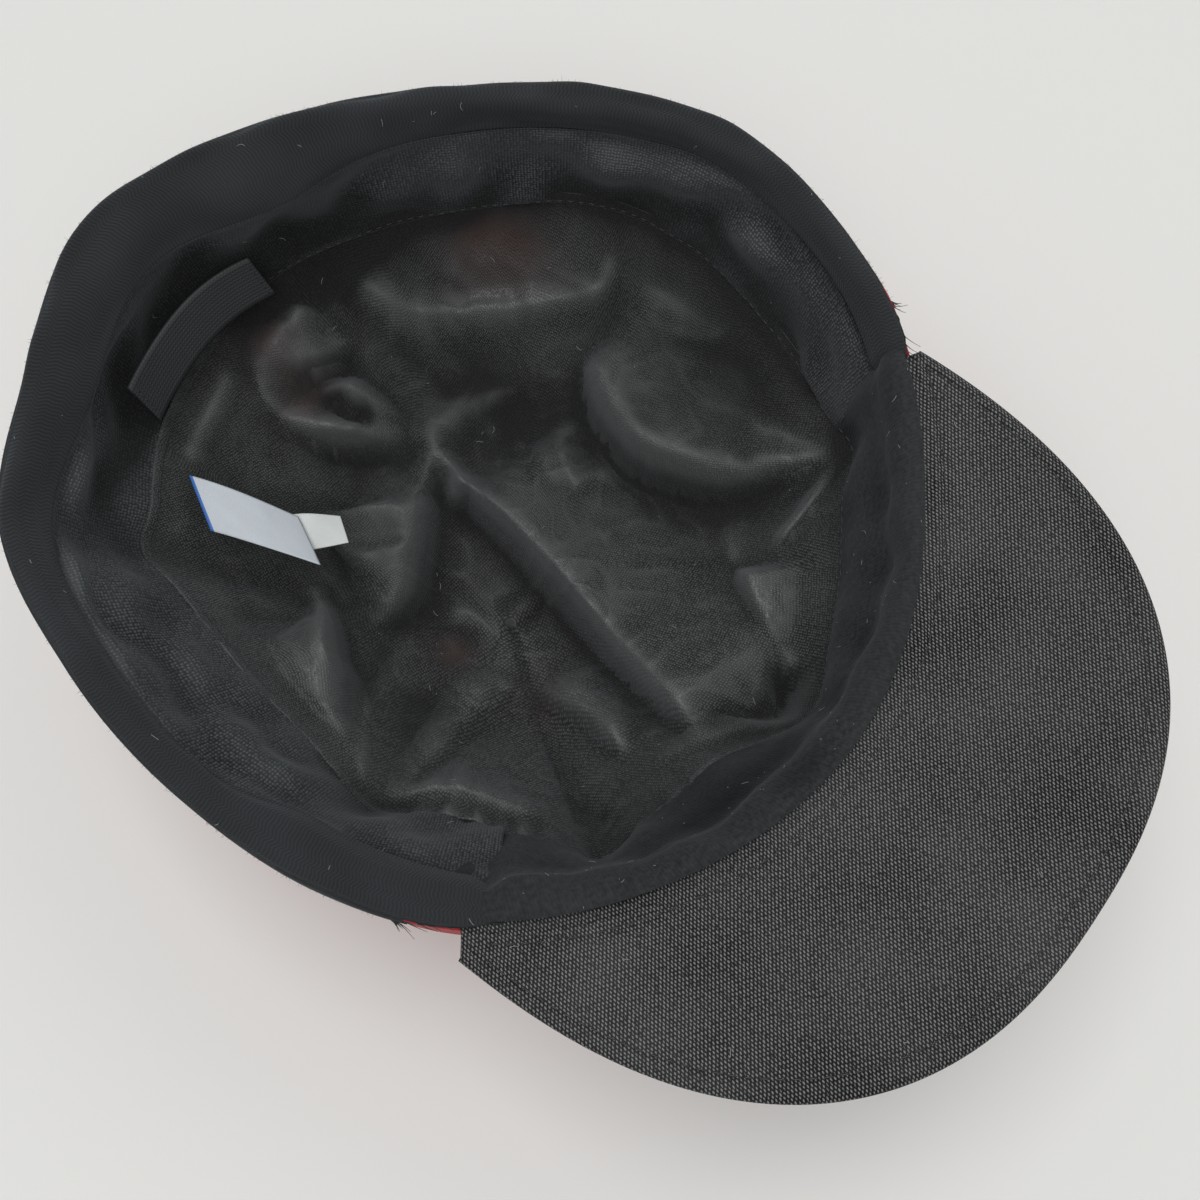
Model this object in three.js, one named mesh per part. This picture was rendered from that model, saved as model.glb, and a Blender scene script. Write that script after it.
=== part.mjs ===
// Earflap baseball cap, lying upside down on its crown with the hollow open upward.
// Millimetres, +Z up, the peak points to -Y. The origin is the centre of the flat patch
// of the crown that rests on the surface.
import * as THREE from 'three';

const { degToRad, lerp, smoothstep } = THREE.MathUtils;

// Driving dimensions
const RIM_CENTRE_Y = 18;          // the head opening is centred behind the resting patch
const CROWN_BUTTON = [-13, 5.5];  // where the crown panels meet, in plan
const SHELL_WALL = 1.2;
const LINING_WALL = 1.0;
const LINING_FLOOR = 5;           // height of the lining's lowest point
const BAND_WALL = 1.2;            // side and back band
const SWEATBAND_WALL = 1.6;
const KNIT_WALL = 2.0;            // doubled rib knit of the earflap
const PEAK_THICKNESS = 3.4;       // stiff board covered on both faces
const STRAP_WALL = 1.2;
const LABEL_WALL = 0.5;
const SEAM_GAP = 0.5;             // clearance between pieces that are sewn together

// The front, where the peak and the sweatband sit, and the earflap's run round the back.
// Angles are in degrees from -Y towards +X, seen from above.
const FRONT_FROM = -54;
const FRONT_TO = 51;
const FLAP_FROM = 52;
const FLAP_TO = 305;
const FLAP_DEPTH = 42;            // how far the folded flap reaches down the outside
const FLAP_END_DEPTH = 7;         // what is left of it beside the peak
const FLAP_GROWS_OVER = 30;       // degrees from its end to its full depth

// Peak
const PEAK_MIDDLE_X = -4;
const PEAK_HALF_WIDTH = 81;
const PEAK_SIDE_Y = -44;          // the outline is widest here
const PEAK_REACH = 93.5;          // from there to the tip
const PEAK_SQUARENESS = 2.4;      // exponent of the outline's superellipse
const PEAK_RISE = 0.14;           // climb per millimetre away from its seam
const PEAK_BELOW_RIM = 1;         // its face lies a little under the sweatband's edge

// Sections of the rim, the knit lip and the seam between band and lining.
// belly is how far the band swells outward between lip and seam.
const SECTION_COLUMNS = [
  'angle', 'rimRadius', 'rimHeight', 'lipRadius', 'lipHeight', 'seamRadius', 'seamHeight', 'belly',
];
const SECTIONS = [
  [-172, 97, 95, 82, 87, 75, 56, 6],
  [-150, 95, 93, 83, 84, 76, 55, 5],
  [-132, 99, 90, 90, 82, 74, 53, 2],
  [-112, 95, 87, 87, 80, 68, 48, 0],
  [-90, 94, 85, 86, 78, 67, 46, 0],
  [-70, 97, 83, 85, 75, 74, 48, 0],
  [-54, 100, 81, 88, 72, 76, 48, -1],
  [-30, 101, 78, 93, 68, 82, 50, -2],
  [0, 102, 77, 94, 67, 86, 50, -2],
  [30, 98, 78, 92, 68, 82, 50, -2],
  [51, 97, 81, 89, 72, 82, 50, -1],
  [70, 95, 86, 87, 80, 80, 50, 0],
  [90, 93, 90, 85, 84, 79, 55, 1],
  [106, 88, 92, 80, 85, 76, 60, 0],
  [130, 82, 94, 74, 87, 71, 60, 0],
  [152, 84, 95, 73, 87, 72, 58, 2],
  [170, 90, 95, 73, 87, 75, 57, 4],
];

// Profile of the crown from the rim down to the resting patch, as shares of the rim's
// height and radius.
const CROWN_COLUMNS = ['heightShare', 'radiusShare'];
const CROWN_PROFILE = [
  [1.00, 1.000],
  [0.80, 0.995],
  [0.60, 0.970],
  [0.44, 0.925],
  [0.30, 0.855],
  [0.18, 0.770],
  [0.08, 0.670],
  [0.02, 0.570],
  [0.00, 0.500],
];

// Main folds of the loose lining: a crest in plan, its height over the smooth bowl, and how
// far it spreads to the left and right of someone walking along the crest.
const FOLD_COLUMNS = ['crest', 'height', 'left', 'right'];
const FOLDS = [
  // far billow, right round from the strap to the peak's corner
  [[[10, 78], [27, 70], [36, 58], [47, 46], [60, 33]], 14, 30, 12],
  // dome on the right, with its lower edge towards the middle
  [[[62, 28], [46, 20], [40, 6], [40, -8], [46, -22], [56, -34]], 15, 30, 11],
  // flat panel with a straight edge towards the front
  [[[7, 32], [5, 14], [0, -8], [-6, -28], [-13, -50]], 9, 22, 9],
  // small leaf beside the sweatband
  [[[29, -36], [22, -43], [15, -52], [9, -60]], 7, 12, 9],
  // billow behind the strap
  [[[-1, 87], [-9, 80], [-10, 72], [-5, 62], [5, 51]], 14, 16, 10],
  // panel under the label that ends in a rounded roll
  [[[1, 48], [-6, 39], [-14, 34], [-24, 30], [-36, 31]], 11, 10, 17],
  // panel along the near seam
  [[[-58, 46], [-48, 33], [-54, 19], [-63, 6]], 9, 9, 14],
];
const FOLD_BLEND = 2;             // how softly one fold runs into the next
const FOLD_TAPER = 0.22;          // share of a crest over which it dies away at each end
const FOLD_TAPER_START = -0.05;

// Corners of the label and of the size tab behind it, in plan, with their heights.
// Each runs from its sewn end to its free end.
const LABEL = { sewn: [[-38, 77, 53], [-45, 65, 50]], free: [[-29, 54, 43], [-35, 42, 41]] };
const SIZE_TAB = { sewn: [[-30, 57, 41], [-34, 48, 39]], free: [[-22, 48, 38], [-26, 42, 37]] };

// Elastic strap across the back of the opening: middle line in plan, and the heights of
// its lower and upper edges.
const STRAP = { halfSpan: 20, centreX: -13, endY: 91, bow: 4, lowHeight: 62, highHeight: 74, lean: 0.5 };

// Values of a table's row as an object with the names of its columns.
const named = (columns, row) => Object.fromEntries(columns.map((name, i) => [name, row[i]]));

// All columns of the section table at any angle, on a smooth closed curve. The rows at
// each end are repeated a full turn away, so every stretch has neighbours.
const sectionRows = SECTIONS.map((row) => named(SECTION_COLUMNS, row));
const turned = (row, turns) => ({ ...row, angle: row.angle + 360 * turns });
const ringRows = [
  turned(sectionRows.at(-1), -1), ...sectionRows, turned(sectionRows[0], 1), turned(sectionRows[1], 1),
];
function sectionAt(angle) {
  const first = sectionRows[0].angle;
  const inside = ((angle - first) % 360 + 360) % 360 + first;
  let i = 1;
  while (ringRows[i + 1].angle < inside) i += 1;
  const [before, from, to, after] = ringRows.slice(i - 1, i + 3);
  const gap = to.angle - from.angle;
  const s = (inside - from.angle) / gap;
  const values = {};
  for (const column of SECTION_COLUMNS.slice(1)) {
    const slopeFrom = (to[column] - before[column]) / (to.angle - before.angle);
    const slopeTo = (after[column] - from[column]) / (after.angle - from.angle);
    values[column] = (2 * s ** 3 - 3 * s ** 2 + 1) * from[column]
      + (s ** 3 - 2 * s ** 2 + s) * gap * slopeFrom
      + (3 * s ** 2 - 2 * s ** 3) * to[column]
      + (s ** 3 - s ** 2) * gap * slopeTo;
  }
  return values;
}

// Radius share of the crown at a height share.
const crownRows = CROWN_PROFILE.map((row) => named(CROWN_COLUMNS, row)).reverse();
function crownShare(heightShare) {
  const last = crownRows.length - 1;
  let i = 0;
  while (i < last - 1 && crownRows[i + 1].heightShare < heightShare) i += 1;
  const from = crownRows[i];
  const to = crownRows[i + 1];
  return lerp(from.radiusShare, to.radiusShare,
    (heightShare - from.heightShare) / (to.heightShare - from.heightShare));
}

// Point at an angle and radius round a centre on the cap's middle plane.
function polar(angle, radius, height, centreY = RIM_CENTRE_Y) {
  const a = degToRad(angle);
  return new THREE.Vector3(radius * Math.sin(a), centreY - radius * Math.cos(a), height);
}

// Outer form of the cap at an angle and a height share, moved in by an inset.
function crownPoint(angle, heightShare, inset = 0) {
  const { rimRadius, rimHeight } = sectionAt(angle);
  const centreY = RIM_CENTRE_Y * Math.sin(heightShare * Math.PI / 2);
  return polar(angle, rimRadius * crownShare(heightShare) - inset, rimHeight * heightShare, centreY);
}

// Point on a smooth curve through points given as [radius, height].
function profilePoint(points, share) {
  const curve = new THREE.SplineCurve(points.map(([r, z]) => new THREE.Vector2(r, z)));
  return curve.getPoint(share);
}

// Closed wall from a grid of points: the given points are its front face and the back face
// lies a thickness behind. Rows may close on themselves, and a pole may close the last row.
function wallGeometry(rows, thickness, { ring = false, pole = null } = {}) {
  const columns = rows[0].length;
  const front = rows.flat();
  const faces = [];
  const lastColumn = ring ? columns : columns - 1;
  for (let r = 0; r < rows.length - 1; r += 1) {
    for (let c = 0; c < lastColumn; c += 1) {
      const next = (c + 1) % columns;
      const [a, b] = [r * columns + c, r * columns + next];
      const [d, e] = [a + columns, b + columns];
      faces.push([a, d, e], [a, e, b]);
    }
  }
  if (pole) {
    const base = (rows.length - 1) * columns;
    front.push(pole);
    for (let c = 0; c < columns; c += 1) {
      faces.push([base + c, front.length - 1, base + (c + 1) % columns]);
    }
  }
  return thicken(front, faces, thickness);
}

// Closed body from a front surface and a thickness measured against its point normals.
function thicken(front, faces, thickness) {
  const normals = front.map(() => new THREE.Vector3());
  const edgeOwners = new Map();
  for (const face of faces) {
    const [a, b, c] = face.map((i) => front[i]);
    const normal = b.clone().sub(a).cross(c.clone().sub(a));
    face.forEach((i) => normals[i].add(normal));
    for (let k = 0; k < 3; k += 1) edgeOwners.set(`${face[k]},${face[(k + 1) % 3]}`, face);
  }
  const count = front.length;
  const back = front.map((p, i) => p.clone().addScaledVector(normals[i].normalize(), -thickness));
  const triangles = faces.flatMap(([a, b, c]) => [[a, b, c], [count + a, count + c, count + b]]);
  for (const key of edgeOwners.keys()) {
    const [a, b] = key.split(',').map(Number);
    if (edgeOwners.has(`${b},${a}`)) continue;
    triangles.push([b, a, count + a], [b, count + a, count + b]);
  }
  const geometry = new THREE.BufferGeometry();
  const points = [...front, ...back].flatMap((p) => p.toArray());
  geometry.setAttribute('position', new THREE.Float32BufferAttribute(points, 3));
  geometry.setIndex(triangles.flat());
  return geometry;
}

// Evenly spaced values from one number to another, both ends included.
const steps = (from, to, count) => Array.from({ length: count + 1 }, (_, i) => lerp(from, to, i / count));

// Angles once round, without repeating the first.
const roundAngles = (count) => steps(-180, 180, count).slice(0, -1);

// Crown shell: one soft bowl. At the front its edge stands under the peak, elsewhere it
// stands inside the earflap's fold.
const SHELL_TOP_DROP = 5;
const SHELL_FRONT_OUT = 0.6;
const SHELL_SIDE_IN = KNIT_WALL + 1.0;
function shellInset(angle) {
  const turn = angle > 180 ? 360 - angle : Math.abs(angle);
  return lerp(-SHELL_FRONT_OUT, SHELL_SIDE_IN, smoothstep(turn, 45, 53));
}

function crownShell() {
  const angles = roundAngles(48);
  const heights = [1, 0.9, 0.8, 0.7, 0.6, 0.5, 0.4, 0.3, 0.2, 0.12, 0.06, 0.02, 0];
  const rows = heights.map((share) => angles.map((angle) => {
    const topShare = 1 - SHELL_TOP_DROP / sectionAt(angle).rimHeight;
    return crownPoint(angle, share * topShare, shellInset(angle));
  }));
  return wallGeometry(rows, SHELL_WALL, { ring: true, pole: new THREE.Vector3(0, 0, 0) });
}

// Height of the lining's folds over the smooth bowl at a place in plan. The highest fold
// wins where several meet.
const foldCrests = FOLDS.map((row) => named(FOLD_COLUMNS, row)).map((fold) => ({
  ...fold,
  points: new THREE.SplineCurve(fold.crest.map(([x, y]) => new THREE.Vector2(x, y))).getPoints(20),
}));
function foldHeight(x, y) {
  let swell = 1;
  for (const { points, height, left, right } of foldCrests) {
    let best = Infinity;
    let side = 0;
    let along = 0;
    for (let i = 0; i < points.length - 1; i += 1) {
      const run = points[i + 1].clone().sub(points[i]);
      const reach = new THREE.Vector2(x, y).sub(points[i]);
      const share = THREE.MathUtils.clamp(reach.dot(run) / run.lengthSq(), 0, 1);
      const off = reach.clone().addScaledVector(run, -share);
      if (off.length() >= best) continue;
      best = off.length();
      side = run.cross(reach);
      along = (i + share) / (points.length - 1);
    }
    const spread = side > 0 ? left : right;
    const ends = smoothstep(Math.min(along, 1 - along), FOLD_TAPER_START, FOLD_TAPER);
    const rise = height * ends * Math.exp(-((best / spread) ** 2));
    swell += Math.exp(rise / FOLD_BLEND) - 1;
  }
  return FOLD_BLEND * Math.log(swell);
}

// Smooth bowl of the lining: share 0 is the band's seam and share 1 is the crown's middle.
const BOWL_DEPTH_POWER = 2.2;
const buttonPoint = new THREE.Vector3(...CROWN_BUTTON, 0);
function bowlPoint(angle, share) {
  const { seamRadius, seamHeight } = sectionAt(angle);
  const point = polar(angle, seamRadius, 0).lerp(buttonPoint, share);
  point.z = lerp(LINING_FLOOR, seamHeight - SEAM_GAP, (1 - share) ** BOWL_DEPTH_POWER);
  return point;
}

// The bowl with its folds, raised along the bowl's own normal.
function liningPoint(angle, share) {
  const point = bowlPoint(angle, share);
  const round = bowlPoint(angle + 1, share).sub(bowlPoint(angle - 1, share));
  const inward = bowlPoint(angle, share + 0.01).sub(bowlPoint(angle, share - 0.01));
  const normal = round.cross(inward).normalize();
  const rise = foldHeight(point.x, point.y) * smoothstep(share, 0, 0.12);
  return point.addScaledVector(normal, rise);
}

function lining() {
  const angles = roundAngles(60);
  const shares = [0, 0.04, 0.1, 0.16, 0.22, 0.29, 0.36, 0.43, 0.5, 0.57, 0.64, 0.71, 0.78, 0.85, 0.92];
  const rows = shares.map((share) => angles.map((angle) => liningPoint(-angle, share)));
  const middle = new THREE.Vector3(...CROWN_BUTTON, LINING_FLOOR + foldHeight(...CROWN_BUTTON));
  return wallGeometry(rows, LINING_WALL, { ring: true, pole: middle });
}

// Band inside the rim from just under the knit lip down to the lining's seam.
const BAND_TUCK = 1;
function bandPoint(angle, share) {
  const { lipRadius, lipHeight, seamRadius, seamHeight, belly } = sectionAt(angle);
  const top = [lipRadius + BAND_TUCK, lipHeight - KNIT_WALL];
  const upper = [lerp(top[0], seamRadius, 0.3) + belly * 0.8, lerp(top[1], seamHeight, 0.3)];
  const lower = [lerp(top[0], seamRadius, 0.65) + belly, lerp(top[1], seamHeight, 0.65)];
  const place = profilePoint([top, upper, lower, [seamRadius, seamHeight]], share);
  return polar(angle, place.x, place.y);
}

function innerBand() {
  const angles = steps(FLAP_FROM, FLAP_TO, 40);
  const rows = angles.map((angle) => steps(0, 1, 5).map((share) => bandPoint(angle, share)));
  return wallGeometry(rows, BAND_WALL);
}

// Sweatband at the front, from the rolled edge beside the peak down to the lining's seam.
const SWEATBAND_EDGE_IN = 2;
const SWEATBAND_END_IN = 3;       // further in where the shell passes behind its ends
function sweatbandPoint(angle, share) {
  const { rimRadius, rimHeight, lipRadius, lipHeight, seamRadius, seamHeight, belly } = sectionAt(angle);
  const nearEnd = smoothstep(Math.abs(angle), 40, 47);
  const edge = [rimRadius - lerp(SWEATBAND_EDGE_IN, SWEATBAND_END_IN, nearEnd), rimHeight];
  const upper = [lipRadius + belly, lipHeight];
  const lower = [lerp(lipRadius, seamRadius, 0.5) + belly, lerp(lipHeight, seamHeight, 0.5)];
  const place = profilePoint([edge, upper, lower, [seamRadius, seamHeight]], share);
  return polar(angle, place.x, place.y);
}

function sweatband() {
  const angles = steps(FRONT_FROM, FRONT_TO, 28);
  const rows = angles.map((angle) => steps(0, 1, 6).map((share) => sweatbandPoint(angle, share)));
  return wallGeometry(rows, SWEATBAND_WALL);
}

// Earflap of doubled rib knit: it starts at the lip inside, rolls over the rim and lies
// folded up against the outside of the crown.
const FLAP_CREST = [[5, 0.3], [2, 0], [0.2, 2.6]];  // in from the rim and down, over the roll
const FLAP_CREST_SHARE = 0.18;    // the last of them stays above this share of the flap's depth
function flapDepth(angle) {
  const toEnd = Math.min(angle - FLAP_FROM, FLAP_TO - angle);
  return lerp(FLAP_END_DEPTH, FLAP_DEPTH, smoothstep(toEnd, 0, FLAP_GROWS_OVER));
}

function flapSection(angle) {
  const { rimRadius, rimHeight, lipRadius, lipHeight } = sectionAt(angle);
  const depth = flapDepth(angle);
  const crest = FLAP_CREST.map(([inward, down]) => [
    rimRadius - inward,
    rimHeight - Math.min(down, FLAP_CREST_SHARE * depth),
  ]);
  const middle = [lerp(lipRadius, crest[0][0], 0.45) - 0.6, lerp(lipHeight, crest[0][1], 0.55) + 0.6];
  const inside = [[lipRadius, lipHeight], middle, ...crest].map(([r, z]) => polar(angle, r, z));
  const downs = [0.3, 0.65, 1].map((share) => crownPoint(angle, 1 - depth * share / rimHeight));
  return [...inside, ...downs];
}

function earflap() {
  const rows = steps(FLAP_FROM, FLAP_TO, 54).map((angle) => flapSection(angle).reverse());
  return wallGeometry(rows, KNIT_WALL);
}

// Peak: a gently dished board between the sweatband's edge and a rounded outline.
const PEAK_ROOT_IN = 0.3;
function peakPoint(share, depth) {
  const angle = lerp(FRONT_FROM, FRONT_TO, share);
  const { rimRadius, rimHeight } = sectionAt(angle);
  const root = polar(angle, rimRadius - PEAK_ROOT_IN, rimHeight - PEAK_BELOW_RIM);
  const turn = lerp(-Math.PI / 2, Math.PI / 2, share);
  const power = 2 / PEAK_SQUARENESS;
  const outX = PEAK_MIDDLE_X + PEAK_HALF_WIDTH * Math.sign(turn) * Math.abs(Math.sin(turn)) ** power;
  const outY = PEAK_SIDE_Y - PEAK_REACH * Math.cos(turn) ** power;
  const rise = PEAK_RISE * Math.max(0, root.y - outY);
  const edge = new THREE.Vector3(outX, outY, root.z + rise);
  return root.lerp(edge, depth);
}

function peak() {
  const rows = steps(1, 0, 40).map((share) => steps(0, 1, 7).map((depth) => peakPoint(share, depth)));
  return wallGeometry(rows, PEAK_THICKNESS);
}

// Elastic strap: a bowed tape that leans with the back band.
function elasticStrap() {
  const { halfSpan, centreX, endY, bow, lowHeight, highHeight, lean } = STRAP;
  const rows = steps(-1, 1, 12).map((along) => steps(0, 1, 2).map((up) => new THREE.Vector3(
    centreX + halfSpan * along,
    endY + bow * (1 - along * along) + lean * up,
    lerp(lowHeight, highHeight, up),
  )));
  return wallGeometry(rows, STRAP_WALL);
}

// Small woven tape sewn at one end, a little bowed along its length.
function tape({ sewn, free }) {
  const bow = 1;
  const rows = steps(0, 1, 6).map((along) => steps(1, 0, 2).map((across) => {
    const start = new THREE.Vector3(...sewn[0]).lerp(new THREE.Vector3(...sewn[1]), across);
    const end = new THREE.Vector3(...free[0]).lerp(new THREE.Vector3(...free[1]), across);
    const point = start.lerp(end, along);
    point.z += bow * 4 * along * (1 - along);
    return point;
  }));
  return wallGeometry(rows, LABEL_WALL);
}

const group = new THREE.Group();

// Adds one sub-part with its own material.
function addPart(name, geometry, color, roughness) {
  const mesh = new THREE.Mesh(geometry, new THREE.MeshStandardMaterial({ color, roughness, metalness: 0 }));
  mesh.name = name;
  group.add(mesh);
}

addPart('crown_shell', crownShell(), 0xb3202a, 0.7);
addPart('lining', lining(), 0x17191b, 0.75);
addPart('inner_band', innerBand(), 0x15171a, 0.8);
addPart('sweatband', sweatband(), 0x15171b, 0.85);
addPart('earflap', earflap(), 0x111216, 0.9);
addPart('peak', peak(), 0x232325, 0.6);
addPart('elastic_strap', elasticStrap(), 0x1a1b1e, 0.7);
addPart('woven_label', tape(LABEL), 0xe8ecf0, 0.5);
addPart('size_tab', tape(SIZE_TAB), 0xe8ebee, 0.5);

export default group;
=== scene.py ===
"""Looks of an earflap baseball cap that lies upside down on its crown, seen from nearly above.

Lengths are in millimetres until a mesh is made, which turns them into metres. Angles go
round the head opening in degrees, from -Y (the peak) towards +X. +Z is up.
"""
import math

import bpy
import numpy as np
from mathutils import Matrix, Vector


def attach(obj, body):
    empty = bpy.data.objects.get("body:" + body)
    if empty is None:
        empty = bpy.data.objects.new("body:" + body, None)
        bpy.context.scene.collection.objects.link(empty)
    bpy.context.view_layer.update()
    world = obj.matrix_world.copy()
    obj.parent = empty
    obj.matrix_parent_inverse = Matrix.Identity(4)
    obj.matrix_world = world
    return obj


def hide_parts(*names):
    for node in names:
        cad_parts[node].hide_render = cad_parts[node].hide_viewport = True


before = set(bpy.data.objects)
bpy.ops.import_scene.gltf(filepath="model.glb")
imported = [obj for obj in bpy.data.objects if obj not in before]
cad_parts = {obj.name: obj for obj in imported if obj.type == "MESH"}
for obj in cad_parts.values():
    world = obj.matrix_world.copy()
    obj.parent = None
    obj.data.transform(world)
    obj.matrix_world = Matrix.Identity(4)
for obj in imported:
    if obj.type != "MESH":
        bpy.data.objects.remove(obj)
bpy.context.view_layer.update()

MM = 0.001

# The cap's driving sizes, the same as in the model that is dressed here
RIM_CENTRE_Y = 18.0
CROWN_BUTTON = np.array([-13.0, 5.5])
LINING_FLOOR = 5.0
FRONT_FROM, FRONT_TO = -54.0, 51.0
FLAP_FROM, FLAP_TO = 52.0, 305.0
FLAP_DEPTH, FLAP_END_DEPTH, FLAP_GROWS_OVER = 42.0, 7.0, 30.0
KNIT_WALL = 2.0
PEAK_MIDDLE_X, PEAK_HALF_WIDTH = -4.0, 81.0
PEAK_SIDE_Y, PEAK_REACH = -44.0, 93.5
PEAK_SQUARENESS, PEAK_RISE = 2.4, 0.14
PEAK_THICKNESS = 3.4
PEAK_TUCK = 4.0
BILLOW_BASE, CREST_LIMIT = 3.0, 41.0
STRAP_MIDDLE_X, STRAP_HALF_SPAN = -13.0, 20.0
STRAP_BACK_Y, STRAP_BOW, STRAP_LEAN = 91.0, 4.0, 5.0
STRAP_LOW_Z, STRAP_HIGH_Z = 63.0, 74.0

# Thickness of each cloth wall
LINING_THICKNESS, CROWN_THICKNESS, BAND_THICKNESS = 0.6, 0.7, 0.8
SWEATBAND_THICKNESS, EARFLAP_THICKNESS = 1.4, 1.6
STRAP_THICKNESS, TAPE_THICKNESS = 0.9, 0.25

# Sewing: pitch, length and radius of the stitches, and how far in the peak's rows run
SEAM_STITCH, TOP_STITCH, STRAP_STITCH = (2.6, 1.9, 0.16), (3.0, 2.3, 0.17), (1.6, 1.1, 0.14)
PEAK_STITCH_IN, ROOT_STITCH_OUT = 5.0, 2.6

# How finely the pieces are divided
LINING_COLUMNS, LINING_ROWS = 480, 177
BAND_ROWS, BAND_COLUMNS = 401, 49
SWEATBAND_ROWS, SWEATBAND_COLUMNS = 341, 65
FLAP_ROWS, FLAP_COLUMNS = 961, 57
PEAK_ROWS, PEAK_COLUMNS = 281, 94
CREST_STEPS = 25

# How the peak's weave is turned from the cap's own X and Y
WEAVE_COSINE, WEAVE_SINE = 0.602, 0.799

# Millimetres round the cap for one degree of its opening, at the band, the rim and the crown
BAND_ARC, RIM_ARC, CROWN_ARC = 1.48, 1.6, 1.65

# Side of the square map of mean heights, and of each of its cells
MAP_SIDE, MAP_CELL = 240.0, 2.0

# The cap's sections: radius and height of the rim, of the lip inside it and of the lining's
# seam, and how far the cloth between lip and seam bellies out
SECTION_COLUMNS = ("angle", "rim_r", "rim_z", "lip_r", "lip_z", "seam_r", "seam_z", "belly")
SECTIONS = np.array([
    [-172, 97, 95, 82, 87, 75, 56, 6],
    [-150, 95, 93, 83, 84, 76, 55, 5],
    [-132, 99, 90, 90, 82, 74, 53, 2],
    [-112, 95, 87, 87, 80, 68, 48, 0],
    [-90, 94, 85, 86, 78, 67, 46, 0],
    [-70, 97, 83, 85, 75, 74, 48, 0],
    [-54, 100, 81, 88, 72, 76, 48, -1],
    [-30, 101, 78, 93, 68, 82, 50, -2],
    [0, 102, 77, 94, 67, 86, 50, -2],
    [30, 98, 78, 92, 68, 82, 50, -2],
    [51, 97, 81, 89, 72, 82, 50, -1],
    [70, 95, 86, 87, 80, 80, 50, 0],
    [90, 93, 90, 85, 84, 79, 55, 1],
    [106, 88, 92, 80, 85, 76, 60, 0],
    [130, 82, 94, 74, 87, 71, 60, 0],
    [152, 84, 95, 73, 87, 72, 58, 2],
    [170, 90, 95, 73, 87, 75, 57, 4],
])

# Where the lip and the lining's seam swing out (above nought) or in from the sections: angle,
# reach in degrees, and how far out
LIP_SWINGS = np.array([
    [-78, 7, -2],
    [60, 10, 1],
    [160, 12, -2],
])
SEAM_SWINGS = np.array([
    [-133, 5, 4],
    [-72, 6, 2],
    [-58, 7, -3],
    [-35, 5, 6],
    [-14, 9, -6],
    [3, 7, 3],
    [45, 5, 4],
])

# Crown below the rim: share of the height, and share of the rim's radius there
CROWN_PROFILE = np.array([
    [0.00, 0.500],
    [0.02, 0.570],
    [0.08, 0.670],
    [0.18, 0.770],
    [0.30, 0.855],
    [0.44, 0.925],
    [0.60, 0.970],
    [0.80, 0.995],
    [1.00, 1.000],
])

# Billows of the lining: crest in plan, height over the smooth bowl, then for the left and the
# right of someone walking along the crest how far it reaches and its power (2 falls away like
# a dune, less makes it peaked, more makes it square), and whether it fades at its start and
# its end. The highest one wins where they meet.
FOLD_COLUMNS = ("crest", "height", "left", "left_power", "right", "right_power", "start", "end")
BILLOWS = (
    # far billow: a shelf that starts below the far seam and rolls down towards the middle
    (((27, 84), (27, 70), (36, 58), (47, 46), (56, 37), (62, 31), (70, 30)), 21, 60, 3, 15, 1.4, 1, 1),
    # dome on the right, rolled over along its lower edge
    (((66, 30), (54, 27), (46, 20), (41, 11), (39, 1), (41, -9), (45, -19), (51, -28), (59, -37)),
     25, 90, 3, 6, 3, 0, 0),
    # flat panel with a straight edge towards the front
    (((7, 32), (5, 14), (1, -6), (-5, -26), (-13, -50)), 17, 80, 3, 3.5, 1.6, 0, 0),
    # small leaf beside the sweatband
    (((28, -36), (22, -43), (17, -51), (12, -60)), 15, 40, 3, 3.5, 2.4, 1, 0),
    # billow behind the strap, with a sharp curved lower edge
    (((0, 90), (-8, 84), (-11, 76), (-8, 68), (-2, 60), (6, 51)), 21, 30, 3, 4, 3, 0, 1),
    # panel under the label that ends in a rounded roll
    (((2, 49), (-3, 41), (-8, 37), (-14, 34), (-20, 31), (-28, 30), (-36, 32)),
     15, 5, 3, 60, 2.6, 1, 1),
    # lit panel along the near seam
    (((-40, 44), (-45, 36), (-51, 28), (-55, 18), (-62, 9), (-70, 0)), 15, 4, 2.6, 34, 3, 1, 0),
    # ridge at the back between the strap and the label
    (((-12, 89), (-20, 86), (-28, 84), (-36, 81)), 8, 8, 2, 10, 2, 1, 1),
    # low swell beside the crown's seam
    (((-20, -12), (-21, -22), (-22, -32), (-26, -42)), 8, 12, 2, 7, 2, 1, 1),
    # dome below the middle
    (((-27, 3), (-35, -1), (-49, -3), (-66, -6)), 6, 12, 2, 12, 2, 1, 1),
    # fold between the dome on the right and the small leaf
    (((60, -42), (48, -42), (36, -41)), 9, 3, 2, 6, 2, 0, 1),
)

# Valleys that pull the billows back down to the bowl; height is the share of them taken away
VALLEYS = (
    # between the far billow and the panels on this side of it
    (((71, 29), (62, 27), (54, 28), (45, 31), (34, 34), (21, 40), (8, 44)), 1.0, 5, 2, 4, 2, 0, 1),
    # ground between the far billow, the dome and the flat panel
    (((34, 33), (21, 38), (9, 42)), 0.9, 13, 3, 5, 2, 0, 1),
    # in the middle, between the roll and the flat panel
    (((3, 44), (3, 40), (-7, 32), (-18, 26), (-26, 22)), 0.9, 3, 2, 4, 2, 1, 0),
    # between the lit panel near the seam and the dome below the middle
    (((-27, 24), (-36, 26), (-45, 24), (-53, 19), (-61, 10), (-66, 3)), 0.9, 4, 2, 3, 2, 0, 1),
    # between the strap's billow and the panel under the label
    (((5, 50), (-2, 55), (-9, 60), (-13, 67), (-16, 76)), 0.8, 3, 2, 3, 2, 0, 1),
)

# The crown's seam in plan, from beside its middle towards the near front corner
CROWN_SEAM = ((-13, 5), (-30, -17), (-47, -43))

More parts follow.
